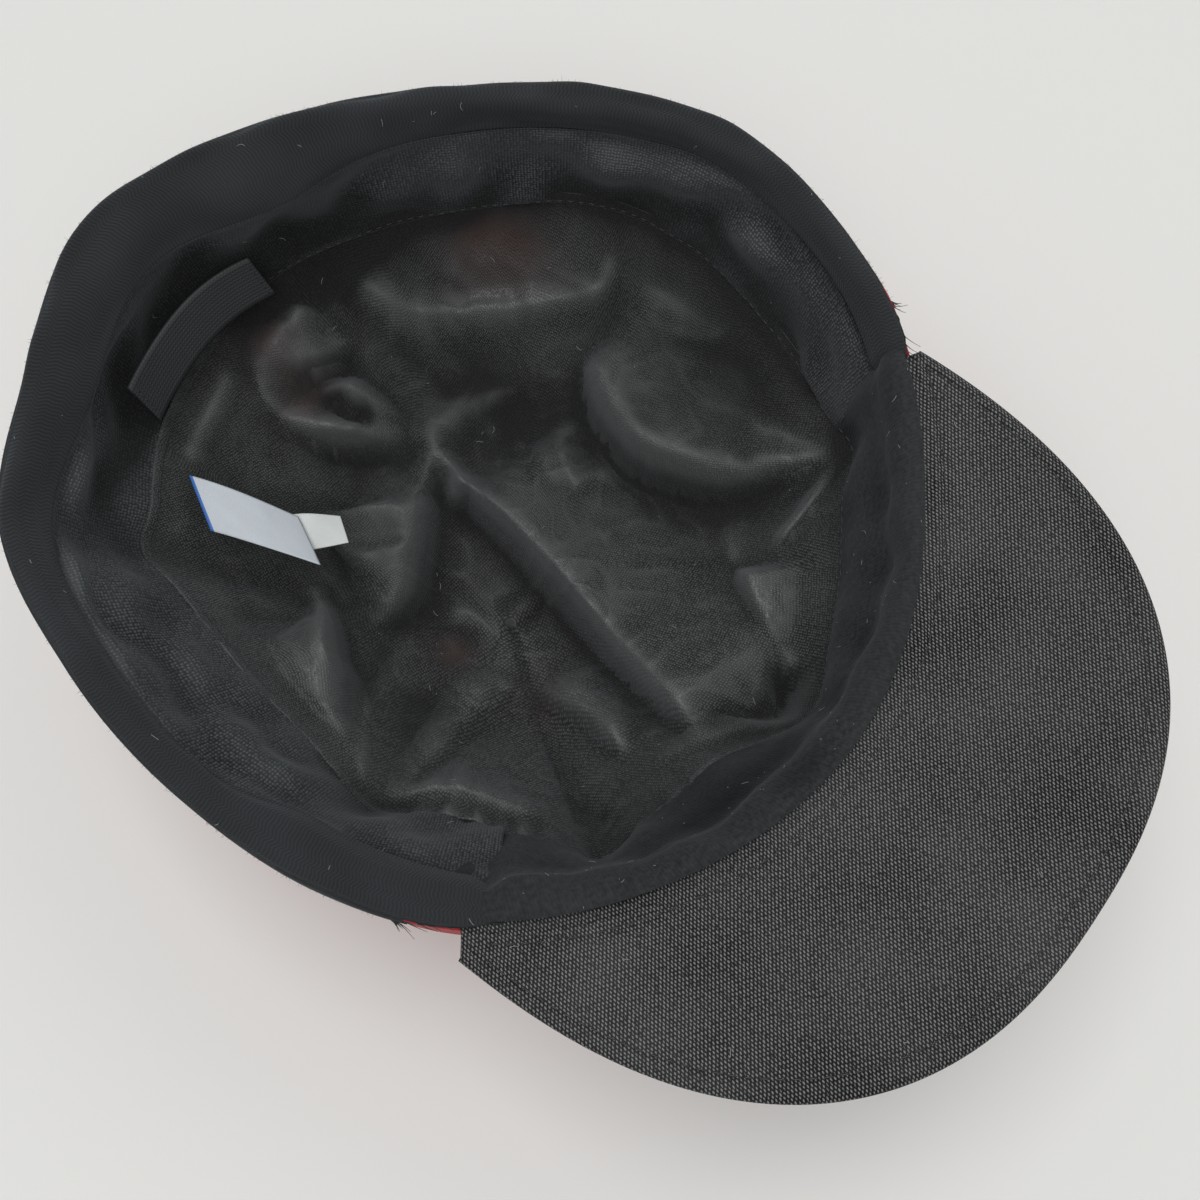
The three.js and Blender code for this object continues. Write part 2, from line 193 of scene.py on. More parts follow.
# Smaller strokes added on top: ridges above nought, creases and hollows below it. They all
# fall away at one power.
STROKE_COLUMNS = ("crest", "height", "left", "right", "start", "end")
STROKE_POWER = 1.4
STROKES = (
    # turned-under edge of the dome
    (((43, 25), (39, 19), (35, 9), (33, 1), (35, -9), (39, -17), (45, -26), (52, -33)),
     -3, 4, 4, 1, 1),
    # creases down the far billow
    (((24, 67), (23, 58), (23, 48)), -2.2, 1.4, 3.5, 1, 1),
    (((28, 64), (28, 56), (28, 48)), 1.2, 3, 2, 1, 1),
    # step at the left end of the far billow
    (((21, 84), (12, 80), (9, 75), (10, 65)), -3.8, 3, 5, 1, 1),
    # ripples left of the dome
    (((37, 20), (30, 21), (24, 14), (20, 8)), 3.9, 4, 4, 1, 1),
    (((32, 4), (26, 9), (19, 9)), 2.4, 3, 3, 1, 1),
    (((28, 26), (22, 20), (18, 13)), 1.8, 3, 3, 1, 1),
    # bunched edge along the seam on the right
    (((79, 14), (76, -2), (71, -17), (64, -31)), 6, 3, 3, 1, 1),
    # ridges that run to the gather at the right
    (((49, -22), (53, -33), (60, -40)), 2.6, 4, 4, 1, 0),
    (((55, -16), (57, -27), (59, -37)), 2.7, 4, 3.5, 1, 0),
    # hollow and folds at the gather in front
    (((13, -63), (5, -66), (0, -69)), -13.8, 4.5, 4.5, 1, 1),
    (((-20, -50), (-10, -58), (-5, -62), (-3, -69)), 4.2, 3, 3.5, 1, 0),
    (((-8, -52), (-3, -59), (-2, -66)), -2.7, 2, 2, 1, 0),
    # seam of the crown
    (CROWN_SEAM, -1.6, 1.2, 1.2, 0, 0),
    # bump in the middle, the crease over it and the pleats beside it
    (((-20, 20), (-17, 14), (-18, 5)), 2.4, 3, 3, 1, 1),
    (((-26, 20), (-23, 14), (-22, 8)), -2, 2, 2, 1, 1),
    (((-13, 10), (-6, 9), (1, 7)), -2, 2.2, 2.2, 1, 1),
    (((-13, 3), (-7, 2), (-1, 1)), -2, 2.2, 2.2, 1, 1),
    # ridges across the roll
    (((-3, 55), (-5, 48)), 1.6, 3.2, 3.2, 1, 1),
    (((-27, 44), (-20, 38), (-14, 33)), 1.6, 2.6, 3.4, 1, 1),
    # hollow at the end of the strap's billow and the ridge round it
    (((0, 68), (1, 63)), -10, 3.4, 3.4, 0, 0),
    (((-2, 72), (4, 70), (7, 63), (9, 56)), 3.3, 2.6, 2.6, 1, 1),
    (((8, 86), (13, 82), (20, 82)), 4.5, 3, 4, 1, 1),
    # pucker beside the label
    (((-44, 80), (-49, 76), (-50, 70)), 4.5, 2.6, 2.6, 1, 1),
    # shaded dip below the label
    (((-59, 51), (-50, 46), (-42, 40)), -3.8, 4, 6, 1, 1),
    # deep ground right of the near panel
    (((-34, 26), (-43, 23), (-51, 20), (-60, 11)), -3.1, 3, 3, 1, 1),
    # ridge under the near front corner
    (((-67, -7), (-59, -13), (-54, -22), (-50, -38)), 6.8, 7, 5, 0, 1),
    # dark pocket under the near front corner
    (((-66, -28), (-60, -36), (-53, -43)), -5, 4, 4, 1, 1),
)

# Places where the seam bunches the lining: x, y, reach, height and number of pleats
GATHERS = np.array([
    [60, -41, 13, 1.5, 15],
    [0, -69, 10, 1.2, 13],
    [-50, -50, 10, 1.0, 13],
    [-70, -8, 10, 1.1, 11],
    [-55, 72, 8, 1.0, 11],
    [20, 84, 9, 1.0, 9],
])

# Where the red shell shows through the thin lining: x, y, reach and strength
TINTS = np.array([
    [50, 60, 8, 1.0],
    [56, 52, 7, 0.8],
    [0, 86, 6, 0.8],
    [-3, 73, 6, 0.9],
    [-28, 12, 5, 1.0],
    [-24, -15, 6, 0.5],
])

# Painted light (above nought) and painted shade (below it) on the cloth: x, y, reach and strength
PAINTED_LIGHT_PATCHES = np.array([
    # broad top of the far billow
    [44, 53, 13, 1.0],
    [57, 41, 10, 0.3],
    # flank of the far billow
    [30, 47, 10, -0.9],
    # panel along the near seam
    [-58, 37, 12, 0.9],
    [-64, 14, 10, 0.5],
    # leaf beside the sweatband
    [24, -50, 9, 0.6],
    # roll under the label
    [-24, 28, 9, -0.8],
    # hollow behind the strap
    [1, 65, 7, -1.4],
    # dome on the right
    [60, -6, 16, -0.45],
    [35, -12, 8, -1.2],
    [38, 6, 7, -0.8],
    [44, -25, 7, -0.9],
    [67, -34, 9, 0.5],
    # ground in the middle
    [30, 28, 13, -0.7],
    # dome below the middle
    [-48, 6, 10, -0.8],
    # swell beside the crown's seam
    [-23, -22, 10, 0.5],
    # sweatband, in front
    [-11, -81, 17, -1.4],
    [-45, -66, 20, -0.9],
    # sweatband, to the right
    [31, -69, 16, 0.4],
])

# Angles at which the crown's panels meet
PANEL_SEAMS = (-161, -101, -41, 19, 79, 139)

# Folds of the bands: angle and depth in millimetres below the lip where the crest starts, the
# same where it ends, height and reach across it
BAND_FOLDS = np.array([
    [62, 8, 88, 17, 2.2, 4.5],
    [84, 6, 112, 12, 2.0, 5.0],
    [96, 18, 124, 20, -1.4, 4.5],
    [128, 10, 146, 16, 1.4, 5.0],
    [190, 8, 206, 24, 1.6, 5.0],
    [208, 4, 228, 10, 1.8, 4.0],
    [226, 4, 262, 3, 1.8, 2.6],
    [232, 22, 246, 14, 1.8, 5.0],
    [246, 20, 262, 13, -1.8, 5.0],
    [262, 20, 280, 12, 1.6, 5.0],
    [280, 18, 296, 14, 1.2, 5.0],
])


def smoothstep(x, lo, hi):
    """0 below lo and 1 above hi, with a smooth rise between."""
    t = np.clip((np.asarray(x, float) - lo) / (hi - lo), 0, 1)
    return t * t * (3 - 2 * t)


def lerp(a, b, t):
    """a where t is 0, b where it is 1."""
    return a + (b - a) * t


def turn_from(middle, angle):
    """Signed degrees from one angle to others, the short way round."""
    return (np.asarray(angle, float) - middle + 180) % 360 - 180


def closed_curve(table, angle):
    """Columns of a table at an array of angles, on a smooth closed curve."""
    table = np.asarray(table, float)
    rows = np.vstack([table[-1], table, table[0], table[1]])
    rows[0, 0] -= 360
    rows[-2:, 0] += 360
    first = table[0, 0]
    inside = (np.asarray(angle, float) - first) % 360 + first
    i = np.clip(np.searchsorted(rows[:, 0], inside, side="right") - 1, 1, len(rows) - 3)
    before, start, end, after = rows[i - 1], rows[i], rows[i + 1], rows[i + 2]
    gap = (end[..., 0] - start[..., 0])[..., None]
    s = ((inside - start[..., 0]) / gap[..., 0])[..., None]
    slope_start = (end - before) / (end[..., :1] - before[..., :1])
    slope_end = (after - start) / (after[..., :1] - start[..., :1])
    return (
        (2 * s**3 - 3 * s**2 + 1) * start
        + (s**3 - 2 * s**2 + s) * gap * slope_start
        + (3 * s**2 - 2 * s**3) * end
        + (s**3 - s**2) * gap * slope_end
    )


def swings_at(table, angle):
    """How far the swings of a table move a line out, at an array of angles."""
    total = np.zeros_like(np.asarray(angle, float))
    for middle, reach, out in table:
        total += out * np.exp(-((turn_from(middle, angle) / reach) ** 2))
    return total


def sections_at(angle):
    """Every column of the section table at an array of angles, with the lip's and seam's swings."""
    value = closed_curve(SECTIONS, angle)
    row = {name: value[..., k] for k, name in enumerate(SECTION_COLUMNS)}
    row["lip_r"] = row["lip_r"] + swings_at(LIP_SWINGS, angle)
    row["seam_r"] = row["seam_r"] + swings_at(SEAM_SWINGS, angle)
    return row


def polar(angle, radius, height, centre_y=RIM_CENTRE_Y):
    """Point at an angle round the opening, at a radius and a height."""
    a = np.radians(angle)
    x, y, z = np.broadcast_arrays(radius * np.sin(a), centre_y - radius * np.cos(a), height)
    return np.stack([x, y, z], -1)


def between(p0, p1, p2, p3, t):
    """Catmull-Rom curve from p1 to p2, at shares from 0 to 1."""
    v0, v1 = (p2 - p0) / 2, (p3 - p1) / 2
    return (2 * p1 - 2 * p2 + v0 + v1) * t**3 + (3 * p2 - 3 * p1 - 2 * v0 - v1) * t**2 + v0 * t + p1


def spline(points, share):
    """Catmull-Rom curve through a list of arrays, at shares from 0 to 1."""
    points = [np.asarray(p, float) for p in points]
    last = len(points) - 1
    place = np.clip(share, 0, 1) * last
    i = np.minimum(np.floor(place).astype(int), last - 1)
    t = (place - i)[..., None]
    stack = np.stack(points)
    p0, p1 = stack[np.maximum(i - 1, 0)], stack[i]
    p2, p3 = stack[i + 1], stack[np.minimum(i + 2, last)]
    while t.ndim < p1.ndim:
        t = t[..., None]
    return between(p0, p1, p2, p3, t)


def profile(points, angle, shares):
    """Grid of 3-D points, a row per angle, along a spline through (radius, height) pairs."""
    pairs = [np.stack(np.broadcast_arrays(r, z), -1) for r, z in points]
    place = np.moveaxis(spline(pairs, shares), 0, 1)
    return polar(angle[:, None], place[..., 0], place[..., 1])


def crown_point(angle, height_share, inset=0.0):
    """Point of the crown's outside, at a share of the rim's height."""
    row = sections_at(angle)
    centre_y = RIM_CENTRE_Y * np.sin(height_share * math.pi / 2)
    radius = row["rim_r"] * np.interp(height_share, CROWN_PROFILE[:, 0], CROWN_PROFILE[:, 1])
    return polar(angle, radius - inset, row["rim_z"] * height_share, centre_y)


def soft_noise(x, y, longest, shortest, count, seed):
    """Smooth random field from crossing waves, about -1 to 1."""
    rng = np.random.default_rng(seed)
    total = np.zeros(np.broadcast(x, y).shape)
    for _ in range(count):
        length = longest * (shortest / longest) ** rng.random()
        turn, phase = rng.random(2) * 2 * math.pi
        total += np.sin(2 * math.pi * (x * math.cos(turn) + y * math.sin(turn)) / length + phase)
    return total / math.sqrt(count)


def row_lengths(grid):
    """Length of each row of a grid, as a column."""
    return np.linalg.norm(np.diff(grid, axis=1), axis=-1).sum(1)[:, None]


def grid_normals(grid, ring=False):
    """Unit normals of a grid of points; rows may close on themselves."""
    if ring:
        across = np.roll(grid, -1, 1) - np.roll(grid, 1, 1)
    else:
        across = np.gradient(grid, axis=1)
    down = np.gradient(grid, axis=0)
    normal = np.cross(down, across)
    return normal / np.maximum(np.linalg.norm(normal, axis=-1, keepdims=True), 1e-9)


def pushed(grid, amount, ring=False):
    """The grid moved along its normals by an amount in millimetres at each point."""
    return grid + grid_normals(grid, ring) * np.asarray(amount)[..., None]


# Meshes


def make_object(name, points, faces, uvs=None):
    """Mesh object from points in millimetres and faces, with a UV pair per face corner."""
    mesh = bpy.data.meshes.new(name)
    mesh.from_pydata((np.asarray(points) * MM).tolist(), [], faces)
    if uvs is not None:
        layer = mesh.uv_layers.new(name="UVMap")
        layer.data.foreach_set("uv", np.asarray(uvs, float).ravel())
    mesh.polygons.foreach_set("use_smooth", [True] * len(mesh.polygons))
    mesh.update()
    piece = bpy.data.objects.new(name, mesh)
    bpy.context.collection.objects.link(piece)
    return piece


def places_of(piece):
    """x, y and z of every point of a piece, in millimetres."""
    points = np.empty(len(piece.data.vertices) * 3)
    piece.data.vertices.foreach_get("co", points)
    return points.reshape(-1, 3).T / MM


def humps(table, x, y):
    """Sum of round humps in plan, from rows of x, y, reach and strength."""
    total = np.zeros_like(x)
    for middle_x, middle_y, reach, strength in table:
        total += strength * np.exp(-((x - middle_x) ** 2 + (y - middle_y) ** 2) / reach**2)
    return total


def add_values(piece, name, values):
    """One number per point, read by the piece's material."""
    layer = piece.data.attributes.new(name, "FLOAT", "POINT")
    layer.data.foreach_set("value", np.asarray(values, float).ravel())


def wall(name, grid, uv, thickness, ring=False, pole=None, step=4):
    """Closed wall: the grid is its front, and a coarser back lies a thickness behind it.

    grid has a row of points per line, uv a pair in millimetres for each of them (with one
    more column where the rows close on themselves). The back keeps every step-th point.
    """
    rows, columns = grid.shape[:2]
    normals = grid_normals(grid, ring)
    behind = (grid - normals * thickness)[::step, ::step]
    wide = columns if ring else columns - 1
    back_rows, back_columns = behind.shape[:2]
    back_wide = back_columns if ring else back_columns - 1
    count = rows * columns

    def quads(height, width, line):
        r, c = np.meshgrid(np.arange(height), np.arange(width), indexing="ij")
        a, b = r * line + c, r * line + (c + 1) % line
        return np.stack([a, a + line, b + line, b], -1).reshape(-1, 4)

    def quad_uvs(table, height, width):
        corners = [(0, 0), (1, 0), (1, 1), (0, 1)]
        parts = [table[i:i + height, j:j + width] for i, j in corners]
        return np.stack(parts, -2).reshape(-1, 4, 2)

    coarse_uv = uv[::step, ::step]
    front = quads(rows - 1, wide, columns)
    back = quads(back_rows - 1, back_wide, back_columns)[:, ::-1] + count
    faces = [*front.tolist(), *back.tolist()]
    uvs = [
        quad_uvs(uv, rows - 1, wide).reshape(-1, 2),
        quad_uvs(coarse_uv, back_rows - 1, back_wide)[:, ::-1].reshape(-1, 2),
    ]

    def rim(fine, fine_uv, coarse):
        """Faces between one edge of the front and the same edge of the back."""
        for k in range(len(coarse) - 1):
            part = slice(k * step, (k + 1) * step + 1)
            faces.append([*fine[part], coarse[k + 1], coarse[k]])
            edge = fine_uv[part]
            uvs.append(np.concatenate([edge, edge[-1:], edge[:1]]))

    line = [c % columns for c in range(wide + 1)]
    back_line = [count + c % back_columns for c in range(back_wide + 1)]
    rim(line, uv[0], back_line)
    base, back_base = (rows - 1) * columns, (back_rows - 1) * back_columns
    if pole is None:
        low, back_low = [base + c for c in line], [back_base + c for c in back_line]
        rim(low[::-1], uv[-1][::-1], back_low[::-1])
    if not ring:
        left = [r * columns for r in range(rows)]
        back_left = [count + r * back_columns for r in range(back_rows)]
        rim(left[::-1], uv[:, 0][::-1], back_left[::-1])
        right = [r + columns - 1 for r in left]
        rim(right, uv[:, -1], [r + back_columns - 1 for r in back_left])
    points = [grid.reshape(-1, 3), behind.reshape(-1, 3)]
    if pole is not None:
        tip = count + back_rows * back_columns
        points += [pole[None], (pole - normals[-1].mean(0) * thickness)[None]]
        middle = uv[-1].mean(0)
        for k in range(wide):
            faces.append([base + line[k], tip, base + line[k + 1]])
            uvs.append(np.stack([uv[-1, k], middle, uv[-1, k + 1]]))
        for k in range(back_wide):
            faces.append([back_base + back_line[k + 1], tip + 1, back_base + back_line[k]])
            uvs.append(np.stack([coarse_uv[-1, k + 1], middle, coarse_uv[-1, k]]))
    return make_object(name, np.concatenate(points), faces, np.concatenate(uvs))


def arc_uv(grid, ring=False):
    """UV in millimetres: u along a row's mean arc length, v down the columns' mean one."""
    if ring:
        grid = np.concatenate([grid, grid[:, :1]], 1)
    across = np.linalg.norm(np.diff(grid, axis=1), axis=-1).mean(0)
    u = np.concatenate([[0], np.cumsum(across)])
    down = np.linalg.norm(np.diff(grid, axis=0), axis=-1).mean(1)
    v = np.concatenate([[0], np.cumsum(down)])
    return np.stack(np.broadcast_arrays(u[None], v[:, None]), -1)


def turned(uv):
    """The same UV with its two directions swapped."""
    return uv[..., ::-1]


class Threads:
    """Many thin round threads gathered in one mesh."""

    def __init__(self):
        self.points, self.faces, self.count = [], [], 0

    def add(self, path, radii, sides=6):
        """Closed tube along a path of points, with a radius at each."""
        path = np.asarray(path, float)
        run = np.gradient(path, axis=0)
        run /= np.maximum(np.linalg.norm(run, axis=1, keepdims=True), 1e-9)
        helper = np.where(np.abs(run[:, 2:]) < 0.9, [[0.0, 0.0, 1.0]], [[1.0, 0.0, 0.0]])
        side = np.cross(run, helper)
        side /= np.maximum(np.linalg.norm(side, axis=1, keepdims=True), 1e-9)
        other = np.cross(run, side)
        turn = np.arange(sides) * 2 * math.pi / sides
        cosine, sine = np.cos(turn)[None, :, None], np.sin(turn)[None, :, None]
        circle = cosine * side[:, None] + sine * other[:, None]
        rings = path[:, None] + circle * np.asarray(radii, float)[:, None, None]
        start, steps = self.count, len(path)
        self.points.append(rings.reshape(-1, 3))
        self.count += steps * sides
        for k in range(steps - 1):
            for j in range(sides):
                a, b = start + k * sides + j, start + k * sides + (j + 1) % sides
                self.faces.append([a, b, b + sides, a + sides])
        self.faces.append([start + j for j in range(sides)][::-1])
        self.faces.append([start + (steps - 1) * sides + j for j in range(sides)])

    def stitches(self, path, normals, pitch, length, radius):
        """Row of stitches along a path; each lies on the cloth and dips into it at both ends."""
        path, normals = np.asarray(path, float), np.asarray(normals, float)
        along = np.concatenate([[0], np.cumsum(np.linalg.norm(np.diff(path, axis=0), axis=1))])
        for start in np.arange(0.4, along[-1] - length, pitch):
            s = start + np.linspace(0, length, 5)
            place = np.stack([np.interp(s, along, path[:, k]) for k in range(3)], -1)
            up = np.stack([np.interp(s, along, normals[:, k]) for k in range(3)], -1)
            lift = radius * np.array([-1.0, 0.45, 0.8, 0.45, -1.0])
            self.add(place + up * lift[:, None], radius * np.array([0.6, 0.95, 1.0, 0.95, 0.6]))

    def done(self, name):
        return make_object(name, np.concatenate(self.points), self.faces)


def sample(grid, row, column):
    """Points between those of a grid, at fractional rows and columns."""
    row, column = np.broadcast_arrays(np.asarray(row, float), np.asarray(column, float))
    r = np.clip(row.astype(int), 0, grid.shape[0] - 2)
    c = np.clip(column.astype(int), 0, grid.shape[1] - 2)
    fr, fc = (row - r)[..., None], (column - c)[..., None]
    near = lerp(grid[r, c], grid[r, c + 1], fc)
    far = lerp(grid[r + 1, c], grid[r + 1, c + 1], fc)
    return lerp(near, far, fr)


# Materials

COOL_SHEEN = (0.85, 0.93, 1.0, 1.0)
KNIT_PITCH, RIB_PITCH, OXFORD_PITCH = 0.72, 0.8, 1.0


def shader(name, **sockets):
    """New material with its Principled shader's sockets set."""
    material = bpy.data.materials.new(name)
    material.use_nodes = True
    tree = material.node_tree
    bsdf = tree.nodes["Principled BSDF"]
    for socket, value in sockets.items():
        bsdf.inputs[socket.replace("_", " ")].default_value = value
    return material, tree, bsdf


def node(tree, kind, inputs=None, **settings):
    made = tree.nodes.new(kind)
    for key, value in settings.items():
        setattr(made, key, value)
    for key, value in (inputs or {}).items():
        if isinstance(value, bpy.types.NodeSocket):
            tree.links.new(value, made.inputs[key])
        else:
            made.inputs[key].default_value = value
    return made


def maths(tree, operation, *values):
    return node(tree, "ShaderNodeMath", dict(enumerate(values)), operation=operation).outputs[0]


def ramp(tree, value, low, high, lo_out=0.0, hi_out=1.0):
    return node(tree, "ShaderNodeMapRange", {0: value, 1: low, 2: high, 3: lo_out, 4: hi_out}).outputs[0]


def mix_colour(tree, factor, a, b):
    inputs = {0: factor}
    for index, value in ((6, a), (7, b)):
        inputs[index] = value if isinstance(value, bpy.types.NodeSocket) else (*value, 1.0)
    return node(tree, "ShaderNodeMix", inputs, data_type="RGBA").outputs[2]


def uv_coordinates(tree):
    uv = node(tree, "ShaderNodeUVMap", uv_map="UVMap")
    parts = node(tree, "ShaderNodeSeparateXYZ", {0: uv.outputs[0]})
    return uv.outputs[0], parts.outputs[0], parts.outputs[1]


def noise(tree, vector, per_mm, detail=2.0):
    made = node(tree, "ShaderNodeTexNoise", {"Vector": vector, "Scale": per_mm, "Detail": detail})
    return made.outputs["Fac"]


def waves(tree, coordinate, pitch, bend=None):
    """Smooth ridges of a pitch in millimetres, from 0 to 1, bent by another value."""
    turn = maths(tree, "MULTIPLY", coordinate, 2 * math.pi / pitch)
    if bend is not None:
        turn = maths(tree, "ADD", turn, bend)
    return maths(tree, "MULTIPLY_ADD", maths(tree, "SINE", turn), 0.5, 0.5)


def slanted(tree, u, v, u_share, v_share):
    """u and v added up with a share of each."""
    return maths(tree, "MULTIPLY_ADD", v, v_share, maths(tree, "MULTIPLY", u, u_share))


def clouds(tree, uv, per_mm, detail=2.0):
    """Slow change of tone over the cloth, from 0 to 1."""
    return ramp(tree, noise(tree, uv, per_mm, detail), 0.3, 0.7)


def surface(tree, bsdf, colour, height, depth):
    """Gives the shader its colour, and threads that stand out by a depth in millimetres."""
    made = node(tree, "ShaderNodeBump", {"Height": height, "Distance": depth * MM, "Strength": 1.0})
    tree.links.new(made.outputs[0], bsdf.inputs["Normal"])
    tree.links.new(colour, bsdf.inputs["Base Color"])


def marked(tree, name):
    """Value that the piece's points carry under a name."""
    return node(tree, "ShaderNodeAttribute", attribute_name=name).outputs["Fac"]


def paint_light_and_shade(tree, bsdf, base, lit, roughness):
    """Painted shade in hollows, where the cloth is also duller; painted light and painted highlights on
    ridges.
    """
    painted_light_and_shade = marked(tree, "painted_light_and_shade")
    base = mix_colour(tree, ramp(tree, painted_light_and_shade, -0.9, 0.1, 0.85, 0.0), base, (0.0012, 0.0012, 0.0013))
    base = mix_colour(tree, ramp(tree, painted_light_and_shade, 0.0, 1.0, 0.0, 0.3), base, lit)
    painted_ridge_highlight = ramp(tree, marked(tree, "painted_ridge_highlight"), 0.0, 1.0, 0.0, 0.3)
    base = mix_colour(tree, painted_ridge_highlight, base, tuple(c * 2.0 for c in lit))
    tree.links.new(ramp(tree, painted_light_and_shade, -0.6, 0.7, 0.9, roughness), bsdf.inputs["Roughness"])
    return base


def knit_material(name, dark, light, roughness, specular, tint=None):
    """Fine knit: small loops in staggered rows, in an uneven soft black."""
    material, tree, bsdf = shader(
        name, Sheen_Weight=0.14, Sheen_Roughness=0.5,
        Specular_IOR_Level=specular, Sheen_Tint=(0.9, 0.95, 1.0, 1.0),
    )
    uv, _, _ = uv_coordinates(tree)
    cloud = clouds(tree, uv, 0.07, 3.0)
    cells = node(
        tree, "ShaderNodeTexVoronoi",
        {"Vector": uv, "Scale": 1 / KNIT_PITCH, "Randomness": 0.35}, voronoi_dimensions="2D",
    )
    each = node(tree, "ShaderNodeSeparateColor", {0: cells.outputs["Color"]}).outputs[0]
    loops = ramp(tree, cells.outputs["Distance"], 0.08, 0.46, 1.0, 0.0)
    loops = maths(tree, "MULTIPLY", loops, ramp(tree, each, 0.0, 1.0, 0.4, 1.4))
    tone = slanted(tree, loops, cloud, 1.15, 0.2)
    base = mix_colour(tree, tone, dark, light)
    if tint is not None:
        base = mix_colour(tree, marked(tree, "tint"), base, tint)
    # Painted shade in the hollows, painted light and highlights on the ridges
    base = paint_light_and_shade(tree, bsdf, base, light, roughness)
    surface(tree, bsdf, base, loops, 0.12)
    return material


def rib_material(name, dark, light):
    """Rib knit: fine ribs across the rim, a little fuzzy."""
    material, tree, bsdf = shader(
        name, Roughness=0.9, Sheen_Weight=0.12, Sheen_Roughness=0.6,
        Specular_IOR_Level=0.2, Sheen_Tint=COOL_SHEEN,
    )
    uv, u, _ = uv_coordinates(tree)
    fuzz = noise(tree, uv, 2.2, 3.0)
    cloud = clouds(tree, uv, 0.05)
    ribs = waves(tree, u, RIB_PITCH, maths(tree, "MULTIPLY", noise(tree, uv, 0.12, 0.0), 4.0))
    height = maths(tree, "MULTIPLY_ADD", fuzz, 0.8, ribs)
    base = mix_colour(tree, slanted(tree, ribs, cloud, 0.5, 0.35), dark, light)
    surface(tree, bsdf, base, height, 0.12)
    return material


def brushed_material(name, dark, light):
    """Brushed knit: no clear threads, a mottled nap."""
    material, tree, bsdf = shader(
        name, Sheen_Weight=0.1, Sheen_Roughness=0.55,
        Specular_IOR_Level=0.2, Sheen_Tint=COOL_SHEEN,
    )
    uv, u, v = uv_coordinates(tree)
    nap = noise(tree, uv, 0.9, 4.0)
    cloud = clouds(tree, uv, 0.06, 3.0)
    bend = maths(tree, "MULTIPLY", nap, 9.0)
    threads = waves(tree, slanted(tree, u, v, 1.0, 0.25), RIB_PITCH, bend)
    tone = slanted(tree, ramp(tree, nap, 0.35, 0.7), cloud, 0.7, 0.3)
    base = mix_colour(tree, maths(tree, "MULTIPLY_ADD", threads, 0.2, tone), dark, light)
    # Painted shade in the hollows and painted light on the ridges
    base = paint_light_and_shade(tree, bsdf, base, light, 0.9)
    surface(tree, bsdf, base, maths(tree, "MULTIPLY_ADD", threads, 0.4, nap), 0.12)
    return material


def oxford_material(name, dark, light):
    """Oxford cloth: crossing threads that show as a lattice of small bright floats."""
    material, tree, bsdf = shader(name, Roughness=0.6, Specular_IOR_Level=0.15)
    uv, u, v = uv_coordinates(tree)
    bend = maths(tree, "MULTIPLY", noise(tree, uv, 0.5), 1.6)
    cloud = clouds(tree, uv, 0.04)
    first = waves(tree, slanted(tree, u, v, 1.371, -0.046), OXFORD_PITCH, bend)
    second = waves(tree, slanted(tree, u, v, -1.005, -1.234), OXFORD_PITCH, bend)
    both = maths(tree, "MULTIPLY", first, second)
    sparkle = ramp(tree, noise(tree, uv, 1.5, 1.0), 0.35, 0.7, 0.45, 1.7)
    weave = ramp(tree, maths(tree, "MULTIPLY", both, sparkle), 0.12, 0.75)
    tone = slanted(tree, weave, cloud, 1.0, 0.1)
    surface(tree, bsdf, mix_colour(tree, tone, dark, light), both, 0.13)
    return material


def plain_material(name, colour, roughness, pitch=0.4, depth=0.04, edge=None):
    """Close plain weave in one colour; edge colours a narrow strip where u is small."""
    material, tree, bsdf = shader(name, Roughness=roughness, Specular_IOR_Level=0.4)
    uv, u, v = uv_coordinates(tree)
    cloud = noise(tree, uv, 0.15, 3.0)
    weave = maths(tree, "MULTIPLY", waves(tree, u, pitch), waves(tree, v, pitch))
    dark = tuple(c * 0.8 for c in colour)
    base = mix_colour(tree, maths(tree, "MULTIPLY_ADD", weave, 0.4, cloud), dark, colour)
    if edge is not None:
        base = mix_colour(tree, maths(tree, "LESS_THAN", u, 0.9), base, edge)
    surface(tree, bsdf, base, weave, depth)
    return material


# Forms of the cap


def crest_line(fold):
    """Plan of a fold's crest, and how much of its height is left along it."""
    along = np.linspace(0, 1, CREST_STEPS)
    ends = lerp(1, smoothstep(along, -0.08, 0.3), fold["start"])
    ends = ends * lerp(1, smoothstep(1 - along, -0.08, 0.3), fold["end"])
    return spline(fold["crest"], along), ends


def fold_share(x, y, fold):
    """For places in plan, the share of a fold's height there and how far along the crest it is."""
    path, _ = crest_line(fold)
    best = np.full_like(x, 1e9)
    leftness = np.zeros_like(x)
    along = np.zeros_like(x)
    for i in range(len(path) - 1):
        run = path[i + 1] - path[i]
        dx, dy = x - path[i, 0], y - path[i, 1]
        share = np.clip((dx * run[0] + dy * run[1]) / (run @ run), 0, 1)
        dx, dy = dx - run[0] * share, dy - run[1] * share
        off = np.hypot(dx, dy)
        sine = (run[0] * dy - run[1] * dx) / (np.hypot(*run) * np.maximum(off, 1e-9))
        nearer = off < best
        best = np.where(nearer, off, best)
        leftness = np.where(nearer, 0.5 + 0.5 * sine, leftness)
        along = np.where(nearer, (i + share) / (len(path) - 1), along)
    reach = lerp(fold["right"], fold["left"], leftness)
    power = lerp(fold["right_power"], fold["left_power"], leftness)
    return np.exp(-((best / reach) ** power)), along


def folds_of(table, columns=FOLD_COLUMNS):
    """The rows of a table of folds, by the names of its columns."""
    usual = {"left_power": STROKE_POWER, "right_power": STROKE_POWER}
    return [{**usual, **dict(zip(columns, row))} for row in table]


def running_mean(values):
    """Values smoothed along a line, over seven neighbours."""
    return np.convolve(np.pad(values, 3, "edge"), np.ones(7) / 7, "valid")


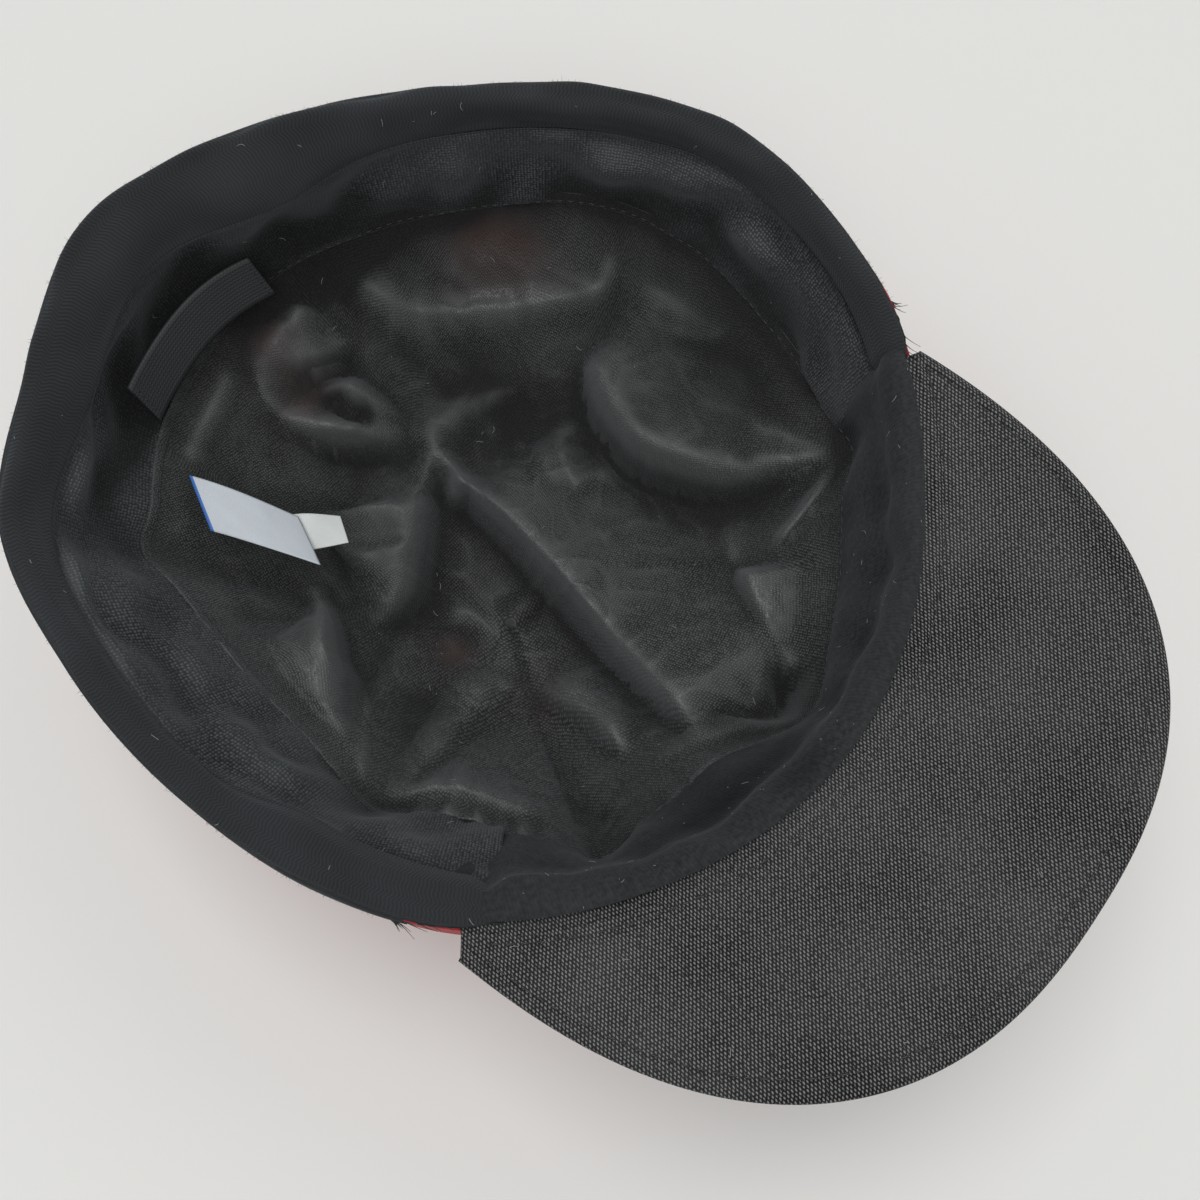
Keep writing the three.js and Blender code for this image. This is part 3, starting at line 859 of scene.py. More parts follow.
def fold_rise(grid):
    """How far the lining's folds stand above its smooth bowl, at each point of the bowl's grid."""
    x, y, low = grid[..., 0], grid[..., 1], grid[..., 2]
    places = np.linspace(0, 1, CREST_STEPS)
    softness = 0.9
    swell = np.ones_like(x)
    for fold in folds_of(BILLOWS):
        path, ends = crest_line(fold)
        near = [np.argmin((x - px) ** 2 + (y - py) ** 2) for px, py in path]
        crest_low = running_mean(low.ravel()[near])
        crest_height = crest_low + fold["height"] * ends
        crest_height = np.minimum(crest_height, np.maximum(CREST_LIMIT, crest_low + 4))
        share, along = fold_share(x, y, fold)
        height = lerp(BILLOW_BASE, np.interp(along, places, crest_height), share)
        swell += np.exp((height - low) / softness)
    total = softness * np.log(swell)

    def raised(fold):
        share, along = fold_share(x, y, fold)
        return fold["height"] * share * np.interp(along, places, crest_line(fold)[1])

    for fold in folds_of(VALLEYS):
        total *= 1 - raised(fold)
    for fold in folds_of(STROKES, STROKE_COLUMNS):
        total += raised(fold)
    for gx, gy, reach, height, pleats in GATHERS:
        away = np.hypot(x - gx, y - gy)
        turn = np.arctan2(y - gy, x - gx)
        pleat = np.sin(turn * pleats + 1.3 * np.sin(turn * 3 + gx))
        total += height * pleat * away / (away + 2) * np.exp(-away / reach)
    wave = soft_noise(x, y, 34, 12, 22, 11)
    wrinkle = 1 - np.abs(soft_noise(x + 2 * wave, y - 2 * wave, 26, 9, 18, 12))
    creased = smoothstep(soft_noise(x, y, 50, 30, 8, 14), -0.2, 1)
    small = soft_noise(x + wave, y + 2 * wave, 12, 5, 24, 13) * creased
    return total + 0.45 * wave + 0.6 * wrinkle**2 + 0.3 * small


def pucker(angle, away):
    """Small irregular gathers at a distance in millimetres from the lining's seam."""
    turn = np.radians(angle)
    swing = 1.5 * np.sin(7 * turn + 1) + np.sin(11 * turn)
    wave = 0.30 * np.sin(61 * turn + swing) + 0.26 * np.sin(83 * turn - swing)
    wave = wave + 0.2 * np.sin(109 * turn + 2 * swing)
    gathered = 0.15 + 1.2 * np.exp(-((turn_from(-48, angle) / 20) ** 2))
    return wave * gathered * np.exp(-away / 5)


def bowl(angle, share):
    """Smooth bowl of the lining, before its folds, from the seam (0) to its middle (1)."""
    row = sections_at(angle)
    seam = polar(angle, row["seam_r"], 0.0)
    x = lerp(seam[..., 0], CROWN_BUTTON[0], share)
    y = lerp(seam[..., 1], CROWN_BUTTON[1], share)
    z = lerp(LINING_FLOOR, row["seam_z"] - 0.3, (1 - share) ** 2.2)
    return np.stack([x, y, z], -1)


def lining_grid():
    """The lining with its folds, and the edge that goes up behind the band's seam."""
    tucked = 4
    angle = -np.linspace(-180, 180, LINING_COLUMNS, endpoint=False)[None]
    share = (np.linspace(0, 1, LINING_ROWS) ** 0.9 * 0.985)[:, None]
    angle, share = np.broadcast_arrays(angle, share)
    grid = bowl(angle, share)
    rise = fold_rise(grid) * smoothstep(share, 0, 0.12)
    rise = (np.roll(rise, 1, 1) + 2 * rise + np.roll(rise, -1, 1)) / 4
    rise[1:-1] = (rise[:-2] + 2 * rise[1:-1] + rise[2:]) / 4
    row = sections_at(angle[0])
    tuck = [
        polar(angle[0], row["seam_r"] + 1.2 * k / tucked, row["seam_z"] + 2.2 * k / tucked)
        for k in range(tucked, 0, -1)
    ]
    gathered = pucker(angle, share * 75) * smoothstep(1 - share, 0, 0.3)
    grid[..., 2] += rise
    inward = polar(angle[0], -1.0, 0.8, 0.0)
    grid += gathered[..., None] * inward
    return np.concatenate([np.stack(tuck) + gathered[0][None, :, None] * inward, grid], 0)


def map_cells(points):
    """Which cell of the map of mean heights each point falls in."""
    return tuple(((points[..., k] + MAP_SIDE / 2) / MAP_CELL).astype(int) for k in (0, 1))


def mean_heights(grids, blur):
    """Map of the mean height of the cloth round each place in plan."""
    cells = round(MAP_SIDE / MAP_CELL)
    total, count = np.zeros((cells, cells)), np.zeros((cells, cells))
    for grid in grids:
        np.add.at(total, map_cells(grid), grid[..., 2])
        np.add.at(count, map_cells(grid), 1)
    mean = np.where(count > 0, total / np.maximum(count, 1), 60.0)
    for _ in range(2):
        for axis in (0, 1):
            mean = np.apply_along_axis(np.convolve, axis, mean, np.ones(blur) / blur, "same")
    return mean


def map_values(table, x, y):
    """Values of a map at places between the middles of its cells."""
    column, row = ((place + MAP_SIDE / 2) / MAP_CELL - 0.5 for place in (x, y))
    i, j = np.floor(column).astype(int), np.floor(row).astype(int)
    fi, fj = column - i, row - j
    near = lerp(table[i, j], table[i + 1, j], fi)
    return lerp(near, lerp(table[i, j + 1], table[i + 1, j + 1], fi), fj)


def add_painted_light_and_shade(piece):
    """Marks painted light where the cloth stands proud (1), painted shade where it lies low (-1), and
    painted highlights along the lining's ridges.
    """
    x, y, z = places_of(piece)
    close = z - map_values(close_heights, x, y)
    proud = (z - map_values(wide_heights, x, y)) / 12 + close / 6 + humps(PAINTED_LIGHT_PATCHES, x, y)
    add_values(piece, "painted_light_and_shade", np.clip(proud, -1, 1))
    if piece.name == "lining_cloth":
        add_values(piece, "painted_ridge_highlight", np.clip(close / 2.5, 0, 1))


def make_lining(grid):
    """Lining, its knit laid out round its middle, with the places where red shows through."""
    whole = np.concatenate([grid, grid[:, :1]], 1)
    steps = np.linalg.norm(np.diff(whole[::-1], axis=0), axis=-1)
    from_middle = np.concatenate([0 * steps[:1], np.cumsum(steps, 0)])[::-1]
    turn = np.radians(180 - 360 * np.arange(LINING_COLUMNS + 1) / LINING_COLUMNS)
    uv = np.stack([from_middle * np.sin(turn), from_middle * np.cos(turn)], -1)
    middle = grid[-1].mean(0)
    piece = wall("lining_cloth", grid, uv, LINING_THICKNESS, ring=True, pole=middle)
    x, y, _ = places_of(piece)
    add_values(piece, "tint", np.minimum(humps(TINTS, x, y), 1))
    return piece


def make_crown():
    """Red shell of six panels, flat where the cap stands on it."""
    angle = np.linspace(-180, 180, 240, endpoint=False)[None]
    share = np.linspace(1, 0.11, 73)[:, None]
    angle, share = np.broadcast_arrays(angle, share)
    turn = np.abs(turn_from(0, angle))
    # It shows beside the peak's corners, and lies further in where the earflap covers it
    inset = lerp(0.5, 1.9, smoothstep(turn, 60, 66)) - 1.1 * (1 - smoothstep(turn, 48, 52))
    # Its top edge stays below the rim
    sunk = lerp(3.2, 0.6, smoothstep(turn, 52, 56)) + 4 * smoothstep(turn, 60, 66)
    top = 1 - sunk / sections_at(angle)["rim_z"]
    grid = crown_point(angle, share**2 * top, inset)
    arc = np.radians(angle) * 95
    dent = soft_noise(arc, grid[..., 2], 60, 18, 16, 5)
    for seam in PANEL_SEAMS:
        dent = dent - 0.9 * np.exp(-((turn_from(seam, angle) * CROWN_ARC / 1.1) ** 2))
    free = smoothstep(grid[..., 2], 1, 14) * smoothstep(1 - share, 0, 0.1)
    grid = pushed(grid, 0.55 * dent * free, ring=True)
    flat = np.linspace(1, 0, 14)[1:-1, None, None]
    grid = np.concatenate([grid, grid[-1:] * flat], 0)
    top = np.array([0, 0, grid[-1, 0, 2]])
    uv = arc_uv(grid, ring=True)
    return wall("crown_cloth", grid, uv, CROWN_THICKNESS, ring=True, pole=top)


def band_folds(angle, depth):
    """Soft folds of the inner band, in millimetres, at angles and depths below the lip."""
    total = np.zeros(np.broadcast(angle, depth).shape)
    around = angle % 360
    for a0, d0, a1, d1, height, reach in BAND_FOLDS:
        run = np.array([(a1 - a0) * BAND_ARC, d1 - d0])
        dx, dy = (around - a0) * BAND_ARC, depth - d0
        share = np.clip((dx * run[0] + dy * run[1]) / (run @ run), 0, 1)
        off = np.hypot(dx - run[0] * share, dy - run[1] * share)
        ends = smoothstep(np.minimum(share, 1 - share), -0.05, 0.3)
        total += height * np.exp(-((off / reach) ** 2)) * ends
    return total


def band_grid():
    """Smooth band from under the earflap's lip down to the lining's seam."""
    angle = np.linspace(FLAP_FROM - 2.5, FLAP_TO + 5.5, BAND_ROWS)
    shares = np.linspace(0, 1, BAND_COLUMNS)
    row = sections_at(angle)
    top_r, top_z = row["lip_r"] + 1.0, row["lip_z"] - KNIT_WALL
    points = [
        (top_r, top_z),
        (lerp(top_r, row["seam_r"], 0.3) + row["belly"] * 0.8, lerp(top_z, row["seam_z"], 0.3)),
        (lerp(top_r, row["seam_r"], 0.65) + row["belly"], lerp(top_z, row["seam_z"], 0.65)),
        (row["seam_r"], row["seam_z"]),
    ]
    grid = profile(points, angle, shares)
    length = row_lengths(grid)
    depth = shares[None] * length
    free = smoothstep(shares, 0, 0.2) * smoothstep(1 - shares, 0, 0.15)
    arc = angle[:, None] * BAND_ARC
    soft = band_folds(angle[:, None], depth) + soft_noise(arc, depth, 40, 12, 20, 21)
    return pushed(grid, soft * free[None] + pucker(angle[:, None], length - depth))


def sweatband_grid():
    """Brushed band from the rim, over the lip and down to the lining's seam."""
    angle = np.linspace(FRONT_FROM - 3, FRONT_TO + 3, SWEATBAND_ROWS)
    shares = np.linspace(0, 1, SWEATBAND_COLUMNS)
    row = sections_at(angle)
    to_end = np.minimum(angle - angle[0] - 4.5, angle[-1] - angle)
    shown = smoothstep(to_end, 0, 5)
    swell = row["belly"] * shown
    crest_r, crest_z = row["rim_r"] - 5, row["rim_z"] - 0.3
    points = [
        (row["rim_r"] - 2.4, row["rim_z"]),
        (crest_r, crest_z),
        (
            lerp(row["lip_r"], crest_r, 0.45) - 0.6 + 0.5 * swell,
            lerp(row["lip_z"], crest_z, 0.55) + 0.6,
        ),
        (row["lip_r"] + swell, row["lip_z"]),
        ((row["lip_r"] + row["seam_r"]) / 2 + swell, (row["lip_z"] + row["seam_z"]) / 2),
        (row["seam_r"], row["seam_z"]),
    ]
    grid = profile(points, angle, shares)
    length = row_lengths(grid)
    depth = shares[None] * length
    arc = angle[:, None] * RIM_ARC
    lip = row_lengths(grid[:, :40])
    edge = 1.1 * np.exp(-(((depth - lip) / 1.8) ** 2)) * (1 - smoothstep(angle, -50, -36))[:, None]
    puff = np.sin(math.pi * np.minimum(shares * 1.5, 1))[None]
    soft = 0.7 * soft_noise(arc, depth, 34, 12, 20, 31) * smoothstep(shares, 0, 0.25)[None]
    soft *= smoothstep(1 - shares, 0, 0.15)[None]
    fine = 0.05 * soft_noise(arc, depth, 6, 2.5, 24, 32) * smoothstep(shares, 0, 0.1)[None]
    raised = lerp(-1.8, puff + soft + fine + edge, shown[:, None])
    return pushed(grid, raised + pucker(angle[:, None], length - depth))


def flap_grid():
    """Rib knit from the outside of the crown, over the rim and down to the lip inside."""
    end_wave = np.linspace(0, 1, FLAP_COLUMNS)
    ragged = 0.5 * np.sin(end_wave * 37) + 0.4 * np.sin(end_wave * 71 + 1)
    share_along = np.linspace(0, 1, FLAP_ROWS)[:, None]
    inner = smoothstep(end_wave, 0.44, 0.58)[None]
    start = FLAP_FROM + lerp(5.5, -2.6, inner) + 0.4 * ragged[None]
    end = FLAP_TO + lerp(-5.5, 6.0, inner) + 0.4 * ragged[None]
    angle = lerp(start, end, share_along)
    row = sections_at(angle)
    to_end = np.minimum(angle - FLAP_FROM - 5.5, FLAP_TO - 6.5 - angle)
    depth = lerp(FLAP_END_DEPTH, FLAP_DEPTH, smoothstep(to_end, 0, FLAP_GROWS_OVER))
    crest_r, crest_z = row["rim_r"] - 5, row["rim_z"] - 0.3
    inside = [
        (row["lip_r"], row["lip_z"]),
        (lerp(row["lip_r"], crest_r, 0.45) - 0.6, lerp(row["lip_z"], crest_z, 0.55) + 0.6),
        (crest_r, crest_z),
        (row["rim_r"] - 1.6, row["rim_z"]),
        (row["rim_r"] - 0.2, row["rim_z"] - np.minimum(2.6, 0.18 * depth)),
    ]
    points = [polar(angle, r, z) for r, z in inside]
    points += [crown_point(angle, 1 - depth * part / row["rim_z"]) for part in (0.3, 0.65, 1.0)]
    place = (1 - end_wave) * (len(points) - 1)
    i = np.minimum(place.astype(int), len(points) - 2)
    t = (place - i)[None, :, None]
    stack = np.stack(points)
    last = len(points) - 1
    column = np.arange(FLAP_COLUMNS)
    four = [stack[np.clip(i + k, 0, last), :, column].swapaxes(0, 1) for k in (-1, 0, 1, 2)]
    grid = between(*four, t)
    arc = angle * RIM_ARC
    across = end_wave[None] * 60
    soft = 0.55 * soft_noise(arc, across, 50, 16, 18, 41) * smoothstep(end_wave, 0.45, 0.6)[None]
    soft *= smoothstep(1 - end_wave, 0, 0.06)[None] * smoothstep(to_end, 0, 12)
    tucked = np.minimum(angle - FLAP_FROM, FLAP_TO + 2.5 - angle)
    return pushed(grid, soft - 1.7 * (1 - smoothstep(tucked, -2.6, 1.0)))


def peak_outline(shares):
    """Root and outer edge of the peak's upper face."""
    angle = lerp(FRONT_FROM, FRONT_TO, shares)
    row = sections_at(angle)
    root = polar(angle, row["rim_r"] - 0.3, row["rim_z"] - 1.0)
    turn = lerp(-math.pi / 2, math.pi / 2, shares)
    power = 2 / PEAK_SQUARENESS
    out_x = PEAK_MIDDLE_X + PEAK_HALF_WIDTH * np.sign(turn) * np.abs(np.sin(turn)) ** power
    out_y = PEAK_SIDE_Y - PEAK_REACH * np.maximum(np.cos(turn), 0) ** power
    rise = PEAK_RISE * np.maximum(0, root[:, 1] - out_y)
    return root, np.stack([out_x, out_y, root[:, 2] + rise], -1)


def peak_grid():
    """Upper face of the peak and its rolled edge: a row per share of its width."""
    shares = np.linspace(1, 0, PEAK_ROWS)
    root, edge = peak_outline(shares)
    half = PEAK_THICKNESS / 2
    run = np.gradient(edge, axis=0)
    out = np.stack([-run[:, 1], run[:, 0], np.zeros(len(run))], -1)
    out /= np.maximum(np.linalg.norm(out, axis=1, keepdims=True), 1e-9)
    out *= np.sign(np.sum(out * (edge - root), 1, keepdims=True) + 1e-9)
    inner = edge - out * half
    under = root + (root - edge) / np.linalg.norm(edge - root, axis=1, keepdims=True) * PEAK_TUCK
    under[:, 2] -= 0.6
    depth = np.linspace(0, 1, PEAK_COLUMNS)
    flat = lerp(under[:, None], inner[:, None], depth[None, :, None])
    turn = np.linspace(0, math.pi, 12)[1:]
    bend = (
        inner[:, None] + out[:, None] * half * np.sin(turn)[None, :, None]
        - np.array([0, 0, 1.0]) * (half * (1 - np.cos(turn)))[None, :, None]
    )
    length = np.linalg.norm(inner - under, axis=1)[:, None]
    from_edge = (1 - depth)[None] * length
    from_root = depth[None] * length - PEAK_TUCK
    sink = 0.3 * np.exp(-(((from_edge - PEAK_STITCH_IN + half) / 0.7) ** 2))
    sink += 0.35 * np.exp(-(((from_root - ROOT_STITCH_OUT) / 0.8) ** 2))
    welt = 0.5 * np.exp(-(((from_root - 0.9) / 0.9) ** 2))
    hem = 0.25 * smoothstep(from_edge, PEAK_STITCH_IN, 2.0)
    sway = 0.25 * soft_noise(flat[..., 0], flat[..., 1], 70, 25, 14, 51)
    sway = sway * smoothstep(from_edge, 0, 12) * smoothstep(from_root, 0, 12)
    wrinkle = soft_noise(shares[:, None] * 170, from_root * 0.3, 7, 3, 12, 52)
    wrinkle = wrinkle * np.exp(-np.maximum(from_root - 2, 0) / 3.5) * smoothstep(from_root, 0, 2)
    flat[..., 2] += welt - sink + hem + sway + 0.22 * wrinkle
    return np.concatenate([flat, bend], 1)


def make_peak(grid):
    """Peak with a rolled edge: the upper face and edge, closed by a flat lower face."""
    under = grid[:, 0] - np.array([0, 0, PEAK_THICKNESS])
    extra = lerp(grid[:, -1][:, None], under[:, None], np.linspace(0, 1, 14)[1:][None, :, None])
    whole = np.concatenate([grid, extra], 1)
    x, y = whole[..., 0], whole[..., 1]
    uv = np.stack([WEAVE_COSINE * x - WEAVE_SINE * y, WEAVE_SINE * x + WEAVE_COSINE * y], -1)
    rows, wide = whole.shape[:2]
    r, c = np.meshgrid(np.arange(rows - 1), np.arange(wide), indexing="ij")
    n = (c + 1) % wide
    quads = np.stack([r * wide + c, (r + 1) * wide + c, (r + 1) * wide + n, r * wide + n], -1).reshape(-1, 4)
    quad_uv = np.stack([uv[r, c], uv[r + 1, c], uv[r + 1, n], uv[r, n]], -2).reshape(-1, 2)
    first, last = list(range(wide)), [(rows - 1) * wide + k for k in range(wide)]
    faces = [*quads.tolist(), first, last[::-1]]
    uvs = np.concatenate([quad_uv, uv[0], uv[-1][::-1]])
    return make_object("peak_cloth", whole.reshape(-1, 3), faces, uvs)


def strap_grid():
    """Elastic that bows across the back, leaning in at its foot."""
    along = np.linspace(-1, 1, 81)[:, None]
    up = np.linspace(0, 1, 13)[None]
    x = STRAP_MIDDLE_X + STRAP_HALF_SPAN * along + 0 * up
    y = STRAP_BACK_Y + STRAP_BOW * (1 - along**2) - STRAP_LEAN * (1 - up)
    z = lerp(STRAP_LOW_Z, STRAP_HIGH_Z, up) + 0.6 * np.sin(3 * along)
    return np.stack([x, y, z], -1)


def tape_grid(sewn, free, bow, curl):
    """Tape from its sewn edge to its free edge, bowed along its length and curled at one corner."""
    along = np.linspace(0, 1, 49)[:, None, None]
    across = np.linspace(1, 0, 25)[None, :, None]
    start = lerp(np.array(sewn[0], float), np.array(sewn[1], float), across)
    end = lerp(np.array(free[0], float), np.array(free[1], float), across)
    grid = lerp(start, end, along)
    a, b = along[..., 0], across[..., 0]
    grid[..., 2] += bow * a * (1 - a) * 4 + curl * (a * b) ** 3 + 0.4 * np.sin(5 * a + 2 * b)
    return grid


# Build the pieces, give each its finish and body, and hide the model's parts that the main pieces stand in
# for

lining_finish = knit_material(
    "lining_knit", (0.001, 0.0012, 0.0013), (0.090, 0.094, 0.095),
    roughness=0.36, specular=0.45, tint=(0.034, 0.018, 0.016),
)
band_finish = knit_material(
    "band_knit", (0.004, 0.005, 0.0056), (0.080, 0.089, 0.096), roughness=0.4, specular=0.4,
)
brushed_finish = brushed_material("brushed_band", (0.006, 0.0065, 0.0075), (0.032, 0.0345, 0.037))
rib_finish = rib_material("rib_knit", (0.011, 0.0125, 0.014), (0.030, 0.033, 0.037))
oxford_finish = oxford_material("peak_cloth", (0.002, 0.002, 0.0021), (0.21, 0.213, 0.213))
red_finish = plain_material("red_shell", (0.42, 0.015, 0.02), 0.6)
strap_finish = plain_material("strap_elastic", (0.036, 0.039, 0.041), 0.6, 0.9, 0.10)
label_finish = plain_material(
    "label_satin", (0.60, 0.65, 0.70), 0.5, 0.45, 0.04, edge=(0.05, 0.16, 0.5),
)
tab_finish = plain_material("tab_satin", (0.70, 0.73, 0.73), 0.5, 0.45, 0.04)
thread_finish, _, _ = shader(
    "black_thread", Base_Color=(0.03, 0.031, 0.033, 1.0), Roughness=0.5, Specular_IOR_Level=0.5,
)
lint_finish, _, _ = shader("pale_lint", Base_Color=(0.32, 0.33, 0.34, 1.0), Roughness=0.9)

# The two tapes: the ends of the sewn edge, then of the free one
LABEL = (((-38, 77, 53), (-45, 65, 50)), ((-29, 54, 43), (-35, 42, 41)))
SIZE_TAB = (((-30, 57, 41), (-34, 48, 39)), ((-22, 48, 38), (-26, 42, 37)))

lining = lining_grid()
band = band_grid()
sweatband = sweatband_grid()
flap = flap_grid()
peak = peak_grid()
# Mean heights of the cloth, from which its painted shade and painted light are set
wide_heights = mean_heights((lining, band, sweatband, flap), 9)
close_heights = mean_heights((lining, band, sweatband, flap), 3)
strap = strap_grid()
label = tape_grid(*LABEL, bow=2.0, curl=1.5)
tab = tape_grid(*SIZE_TAB, bow=1.0, curl=0.6)



def strip(name, grid, thickness):
    """Wall of cloth along a grid, with its weave running along the strip."""
    return wall(name, grid, turned(arc_uv(grid)), thickness)


pieces = (
    (make_lining(lining), "lining", "lining_knit", lining_finish),
    (make_crown(), "crown_shell", "red_shell", red_finish),
    (strip("band_cloth", band, BAND_THICKNESS), "inner_band", "band_knit", band_finish),
    (
        strip("sweatband_cloth", sweatband, SWEATBAND_THICKNESS),
        "sweatband", "brushed_band", brushed_finish,
    ),
    (strip("earflap_knit", flap, EARFLAP_THICKNESS), "earflap", "rib_knit", rib_finish),
    (make_peak(peak), "peak", "peak_cloth", oxford_finish),
    (strip("strap_tape", strap, STRAP_THICKNESS), "elastic_strap", "strap_elastic", strap_finish),
    (strip("label_tape", label, TAPE_THICKNESS), "woven_label", "label_satin", label_finish),
    (strip("size_tape", tab, TAPE_THICKNESS), "size_tab", "tab_satin", tab_finish),
)
for piece, cad_node, slot, finish in pieces:
    piece.data.materials.append(finish)
    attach(piece, "root")
    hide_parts(cad_node)
    # The knit and brushed cloths carry painted shade in hollows and painted light on ridges
    if slot in ("lining_knit", "band_knit", "brushed_band"):
        add_painted_light_and_shade(piece)


def make_stitches():
    """Every visible row of stitches, in the black thread of the cap."""
    thread = Threads()

    def sew(grid, row, column, stitch):
        thread.stitches(sample(grid, row, column), sample(grid_normals(grid), row, column), *stitch)

    for grid, above_seam in ((band, 2.8), (sweatband, 3.0)):
        sew(grid, np.linspace(2, len(grid) - 3, 900), grid.shape[1] - above_seam, SEAM_STITCH)
    row = np.linspace(3, PEAK_ROWS - 4, 900)
    last = PEAK_COLUMNS - 1
    length = np.linalg.norm(peak[:, last] - peak[:, 0], axis=1)
    outer = last * (1 - (PEAK_STITCH_IN - PEAK_THICKNESS / 2) / length)
    inner = last * ((ROOT_STITCH_OUT + PEAK_TUCK) / length)
    for column in (outer, inner):
        sew(peak, row, np.interp(row, np.arange(PEAK_ROWS), column), TOP_STITCH)
    flat = lining.reshape(-1, 3)
    normals = grid_normals(lining, ring=True).reshape(-1, 3)
    seam = spline(CROWN_SEAM, np.linspace(0, 1, 120))
    near = np.array([np.argmin((flat[:, 0] - x) ** 2 + (flat[:, 1] - y) ** 2) for x, y in seam])
    path = np.stack([seam[:, 0], seam[:, 1], running_mean(flat[near, 2])], -1)
    thread.stitches(path, normals[near], *SEAM_STITCH)
    for end in (2.0, 78.0):
        sew(strap, np.full(60, end), np.linspace(0.5, 11.5, 60), STRAP_STITCH)
    return thread.done("stitches")


def make_lint():
    """Short pale fibres and specks that lie on the cloth."""
    rng = np.random.default_rng(3)
    lint = Threads()
    for grid, number, first_column, last_column in (
        (sweatband, 60, 4, 60),
        (lining, 60, 0, LINING_COLUMNS - 1),
        (peak, 26, 4, 88),
        (flap, 26, 24, 52),
        (band, 16, 6, 44),
    ):
        normals = grid_normals(grid)
        for _ in range(number):
            row = rng.uniform(4, grid.shape[0] - 6)
            if grid is lining:
                row = grid.shape[0] * (1 - math.sqrt(rng.uniform(0.01, 0.95)))
            column = rng.uniform(first_column, last_column)
            place, up = sample(grid, row, column), sample(normals, row, column)
            length = rng.choice([0.3, 0.5, 0.9, 1.8])
            turn = rng.random() * 2 * math.pi
            side = np.cross(up, [math.cos(turn), math.sin(turn), 0.3])
            side /= np.linalg.norm(side)
            bend = np.cross(up, side) * rng.uniform(-0.5, 0.5)
            s = np.linspace(-0.5, 0.5, 5)[:, None] * length
            path = place + up * 0.12 + side * s + bend * s**2
            lint.add(path, np.full(5, 0.05), 4)
    return lint.done("lint")


def make_fringe():
    """Loose yarn ends at both ends of the knit and short fibres along its rim."""
    rng = np.random.default_rng(4)
    fringe = Threads()
    normals = grid_normals(flap)
    for _ in range(1500):
        row, column = rng.uniform(2, FLAP_ROWS - 4), rng.uniform(19, 34)
        place, up = sample(flap, row, column), sample(normals, row, column)
        lean = rng.normal(0, 0.5, 3)
        length = rng.uniform(0.15, 0.5)
        tip = up + lean
        path = [place - up * 0.1, place + tip * length * 0.5, place + tip * length + lean * 0.1]
        fringe.add(path, [0.04, 0.025, 0.008], 3)
    for row, outward in ((1, -1.0), (FLAP_ROWS - 3, 1.0)):
        for _ in range(26):
            column = rng.uniform(10, 40)
            place, up = sample(flap, row, column), sample(normals, row, column)
            run = (flap[row + 1, int(column)] - flap[row - 1, int(column)]) * outward
            run /= np.linalg.norm(run)
            length = rng.uniform(0.8, 3.2)
            sway = rng.normal(0, 0.45, 3)
            s = np.linspace(0, 1, 6)[:, None]
            lift = up * s * 0.6 * length * rng.random()
            path = place - run * 0.5 + run * s * length + lift + sway * s**2 * length
            fringe.add(path, np.linspace(0.11, 0.04, 6), 5)
    return fringe.done("knit_fringe")


for piece, slot, finish in (
    (make_stitches(), "peak_cloth", thread_finish),
    (make_lint(), "lining_knit", lint_finish),
    (make_fringe(), "rib_knit", rib_finish),
):
    piece.data.materials.append(finish)
    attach(piece, "root")

# Stage, light and camera

CAMERA_AZIMUTH, CAMERA_ELEVATION = -53.0, 74.0
CAMERA_LENS, CAMERA_DISTANCE = 42.0, 0.352
CAMERA_TARGET = Vector((0.003, -0.012, 0.020))
STAGE_NEAR, STAGE_FAR, STAGE_HALF_WIDTH = 900.0, 700.0, 1500.0
STAGE_BEND, STAGE_HEIGHT = 300.0, 1600.0


def view_axes():
    """Where the viewer is, and what is up in the picture."""
    a, e = math.radians(CAMERA_AZIMUTH), math.radians(CAMERA_ELEVATION)
    back = Vector((math.sin(a) * math.cos(e), -math.cos(a) * math.cos(e), math.sin(e)))
    ahead = Vector((-math.sin(a), math.cos(a), 0.0))
    return back, ahead


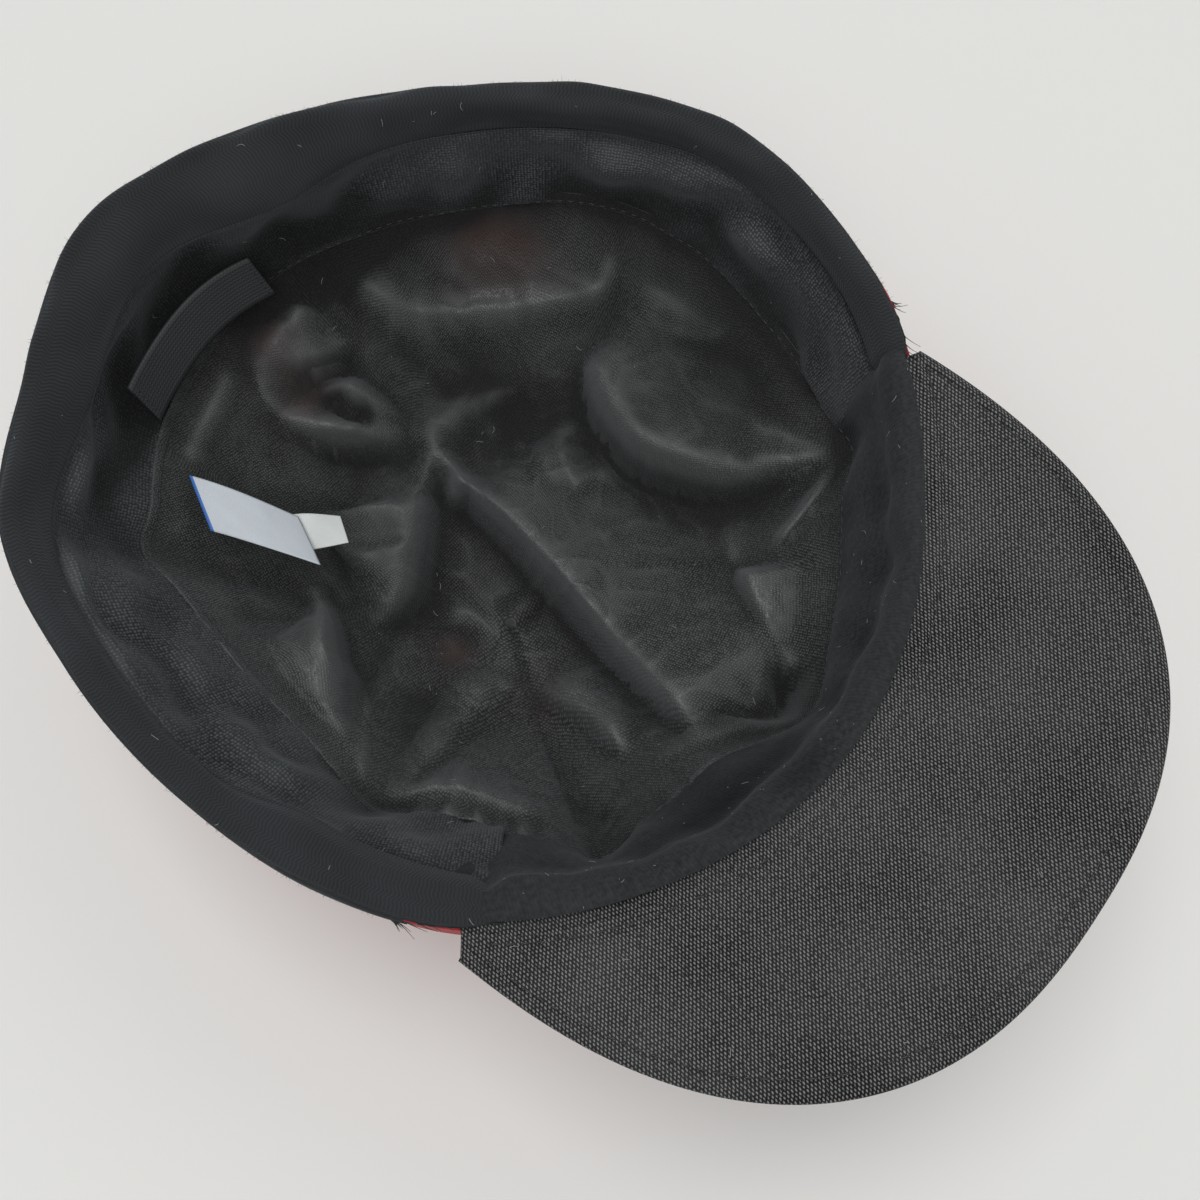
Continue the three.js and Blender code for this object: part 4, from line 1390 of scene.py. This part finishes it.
def make_stage():
    """Pale table that sweeps up into the backdrop."""
    _, ahead = view_axes()
    ahead = np.array([ahead.x, ahead.y])
    side = np.array([ahead[1], -ahead[0]])
    line = [(-STAGE_NEAR, 0.0), (STAGE_FAR, 0.0)]
    for a in np.linspace(0, math.pi / 2, 25)[1:]:
        line.append((STAGE_FAR + STAGE_BEND * math.sin(a), STAGE_BEND * (1 - math.cos(a))))
    line.append((STAGE_FAR + STAGE_BEND, STAGE_HEIGHT))
    sides = (-STAGE_HALF_WIDTH, STAGE_HALF_WIDTH)
    grid = np.array([[[*(ahead * d + side * s), z] for s in sides] for d, z in line])
    faces = [[2 * r, 2 * r + 1, 2 * r + 3, 2 * r + 2] for r in range(len(grid) - 1)]
    floor = make_object("floor", grid.reshape(-1, 3), faces)
    material, _, _ = shader(
        "floor_paper", Base_Color=(0.80, 0.80, 0.785, 1.0), Roughness=0.85, Specular_IOR_Level=0.2,
    )
    floor.data.materials.append(material)


def make_lights():
    """Soft even room with three broad lamps."""
    world = bpy.data.worlds.new("soft_room")
    bpy.context.scene.world = world
    world.use_nodes = True
    sky = world.node_tree.nodes["Background"]
    sky.inputs[0].default_value = (1.0, 1.0, 0.99, 1.0)
    sky.inputs[1].default_value = 0.40
    for name, place, size, power in (
        ("ceiling", (0.02, 0.24, 1.4), 0.6, 5.8),
        ("window", (0.75, -0.10, 1.05), 0.5, 1.1),
        ("doorway", (-0.42, -0.36, 1.2), 0.7, 4.6),
    ):
        light = bpy.data.lights.new(name, "AREA")
        light.size = size
        light.energy = power
        lamp = bpy.data.objects.new(name, light)
        lamp.location = place
        lamp.rotation_mode = "QUATERNION"
        lamp.rotation_quaternion = (Vector((0, 0, 0)) - Vector(place)).to_track_quat("-Z", "Y")
        bpy.context.collection.objects.link(lamp)


def make_camera():
    """Viewer nearly above the cap, over its near side."""
    back, _ = view_axes()
    data = bpy.data.cameras.new("camera")
    data.lens = CAMERA_LENS
    data.sensor_width = 36.0
    data.clip_start = 0.01
    camera = bpy.data.objects.new("camera", data)
    camera.location = CAMERA_TARGET + back * CAMERA_DISTANCE
    camera.rotation_mode = "QUATERNION"
    camera.rotation_quaternion = (-back).to_track_quat("-Z", "Y")
    bpy.context.collection.objects.link(camera)
    bpy.context.scene.camera = camera


make_stage()
make_lights()
make_camera()
bpy.context.scene.view_settings.view_transform = "Standard"
